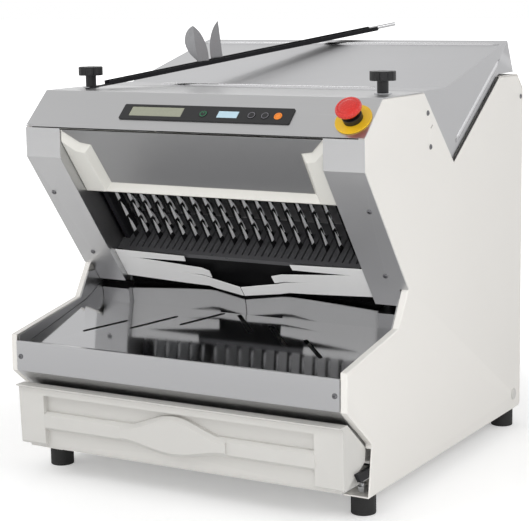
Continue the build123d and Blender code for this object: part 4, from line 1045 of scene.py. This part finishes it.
# %% The light tent
CEILING = (0.25, 0.95, 1.0, 0.72)
SEEN_STRENGTH, LIGHT_STRENGTH = 1.0, 0.55
world = bpy.data.worlds.new("light_tent")
world.use_nodes = True
bpy.context.scene.world = world
tent = world.node_tree
sky = tent.nodes["Background"]
sky.inputs["Color"].default_value = (1, 1, 1, 1)
direction = tent.nodes.new("ShaderNodeTexCoord")
parts = tent.nodes.new("ShaderNodeSeparateXYZ")
tent.links.new(direction.outputs["Generated"], parts.inputs["Vector"])
mirrored = ranged(tent, parts.outputs["Z"], *CEILING)
direct, by_camera = seen_directly(tent)
reflected = mixed_floats(tent, by_camera, mirrored, SEEN_STRENGTH)
level = mixed_floats(tent, direct, LIGHT_STRENGTH, reflected)
tent.links.new(level, sky.inputs["Strength"])
print("world:", world.name)

# %% [markdown]
# The floor is plain and pale. Away from the machine it glows for the camera, so that it runs over
# into the white backdrop, and a little for reflections. Near the machine the glow is weak, which
# leaves the contact shadow in place.

# %% Floor
FLOOR_HALF = 30
SEEN_GLOW = (0.4, 1.5, 0.26, 0.95)
MIRRORED_GLOW = (0.5, 3.0, 0.0, 0.22)


def panel(name, corner, edge_a, edge_b):
    a, b, c = Vector(corner), Vector(edge_a), Vector(edge_b)
    mesh = bpy.data.meshes.new(name)
    mesh.from_pydata([a, a + b, a + b + c, a + c], [], [(0, 1, 2, 3)])
    thing = bpy.data.objects.new(name, mesh)
    bpy.context.scene.collection.objects.link(thing)
    return thing


floor = panel("floor", (-FLOOR_HALF, -FLOOR_HALF, 0), (2 * FLOOR_HALF, 0, 0),
              (0, 2 * FLOOR_HALF, 0))
floor_paint = bpy.data.materials.new("floor_paint")
floor_paint.use_nodes = True
floor_tree = floor_paint.node_tree
floor_shader = floor_tree.nodes["Principled BSDF"]
floor_shader.inputs["Roughness"].default_value = 0.9
floor_shader.inputs["Specular IOR Level"].default_value = 0.1
floor_shader.inputs["Emission Color"].default_value = (1, 1, 1, 1)
floor_place = floor_tree.nodes.new("ShaderNodeTexCoord")
floor_reach = floor_tree.nodes.new("ShaderNodeVectorMath")
floor_reach.operation = "LENGTH"
floor_tree.links.new(floor_place.outputs["Object"], floor_reach.inputs[0])
floor_direct, floor_camera = seen_directly(floor_tree)
away_seen = ranged(floor_tree, floor_reach.outputs["Value"], *SEEN_GLOW)
away_mirrored = ranged(floor_tree, floor_reach.outputs["Value"], *MIRRORED_GLOW)
away = mixed_floats(floor_tree, floor_camera, away_mirrored, away_seen)
glow = mixed_floats(floor_tree, floor_direct, 0.0, away)
floor_tree.links.new(glow, floor_shader.inputs["Emission Strength"])
floor_grain = placed(floor_tree, GRAIN, floor_place.outputs["Object"], Scale=3.0)
floor_tone = floor_tree.nodes.new("ShaderNodeMix")
floor_tone.data_type = "RGBA"
floor_tone.inputs["A"].default_value = (0.90, 0.90, 0.90, 1)
floor_tone.inputs["B"].default_value = (0.92, 0.92, 0.92, 1)
floor_tree.links.new(floor_grain.outputs["Value"], floor_tone.inputs["Factor"])
floor_tree.links.new(floor_tone.outputs["Result"], floor_shader.inputs["Base Color"])
floor.data.materials.append(floor_paint)
print("floor made, half its side in metres:", FLOOR_HALF)

# %% [markdown]
# Four large softboxes light the machine from the front and the sides. They are kept out of glossy
# reflections, because a mirror-like sheet would show them as hard white panes. Two weak strips
# stay visible there, which gives the steel a faint sheen.

# %% Lamps
LAMPS = (
    # name, place, what it points at, size, power in watts, seen in gloss
    ("key_softbox", (-1.6, -2.2, 2.6), (0, 0, 0.3), (1.8, 1.4), 26, False),
    ("front_softbox", (-0.2, -3.2, 1.1), (0, 0, 0.35), (2.0, 1.2), 6, False),
    ("mouth_softbox", (1.5, -2.6, 0.55), (0, 0, 0.4), (0.9, 0.7), 20, False),
    ("top_strip", (-1.45, 1.45, 2.9), (0, 0.2, 0.65), (1.2, 0.5), 3, True),
    ("side_strip", (2.5, 0.85, 2.2), (0.3, 0.2, 0.6), (0.5, 0.9), 4, True),
    ("fill_softbox", (2.6, -0.8, 1.8), (0, 0, 0.3), (1.6, 1.6), 17, False),
)


def lamp(name, place, aim, size, power, in_gloss):
    data = bpy.data.lights.new(name, "AREA")
    data.shape = "RECTANGLE"
    data.size, data.size_y = size
    data.energy = power
    thing = bpy.data.objects.new(name, data)
    bpy.context.scene.collection.objects.link(thing)
    thing.matrix_world = look_matrix(Vector(place), Vector(aim), 0.0)
    thing.visible_glossy = in_gloss


for row in LAMPS:
    lamp(*row)
print("lamps:", len(LAMPS))
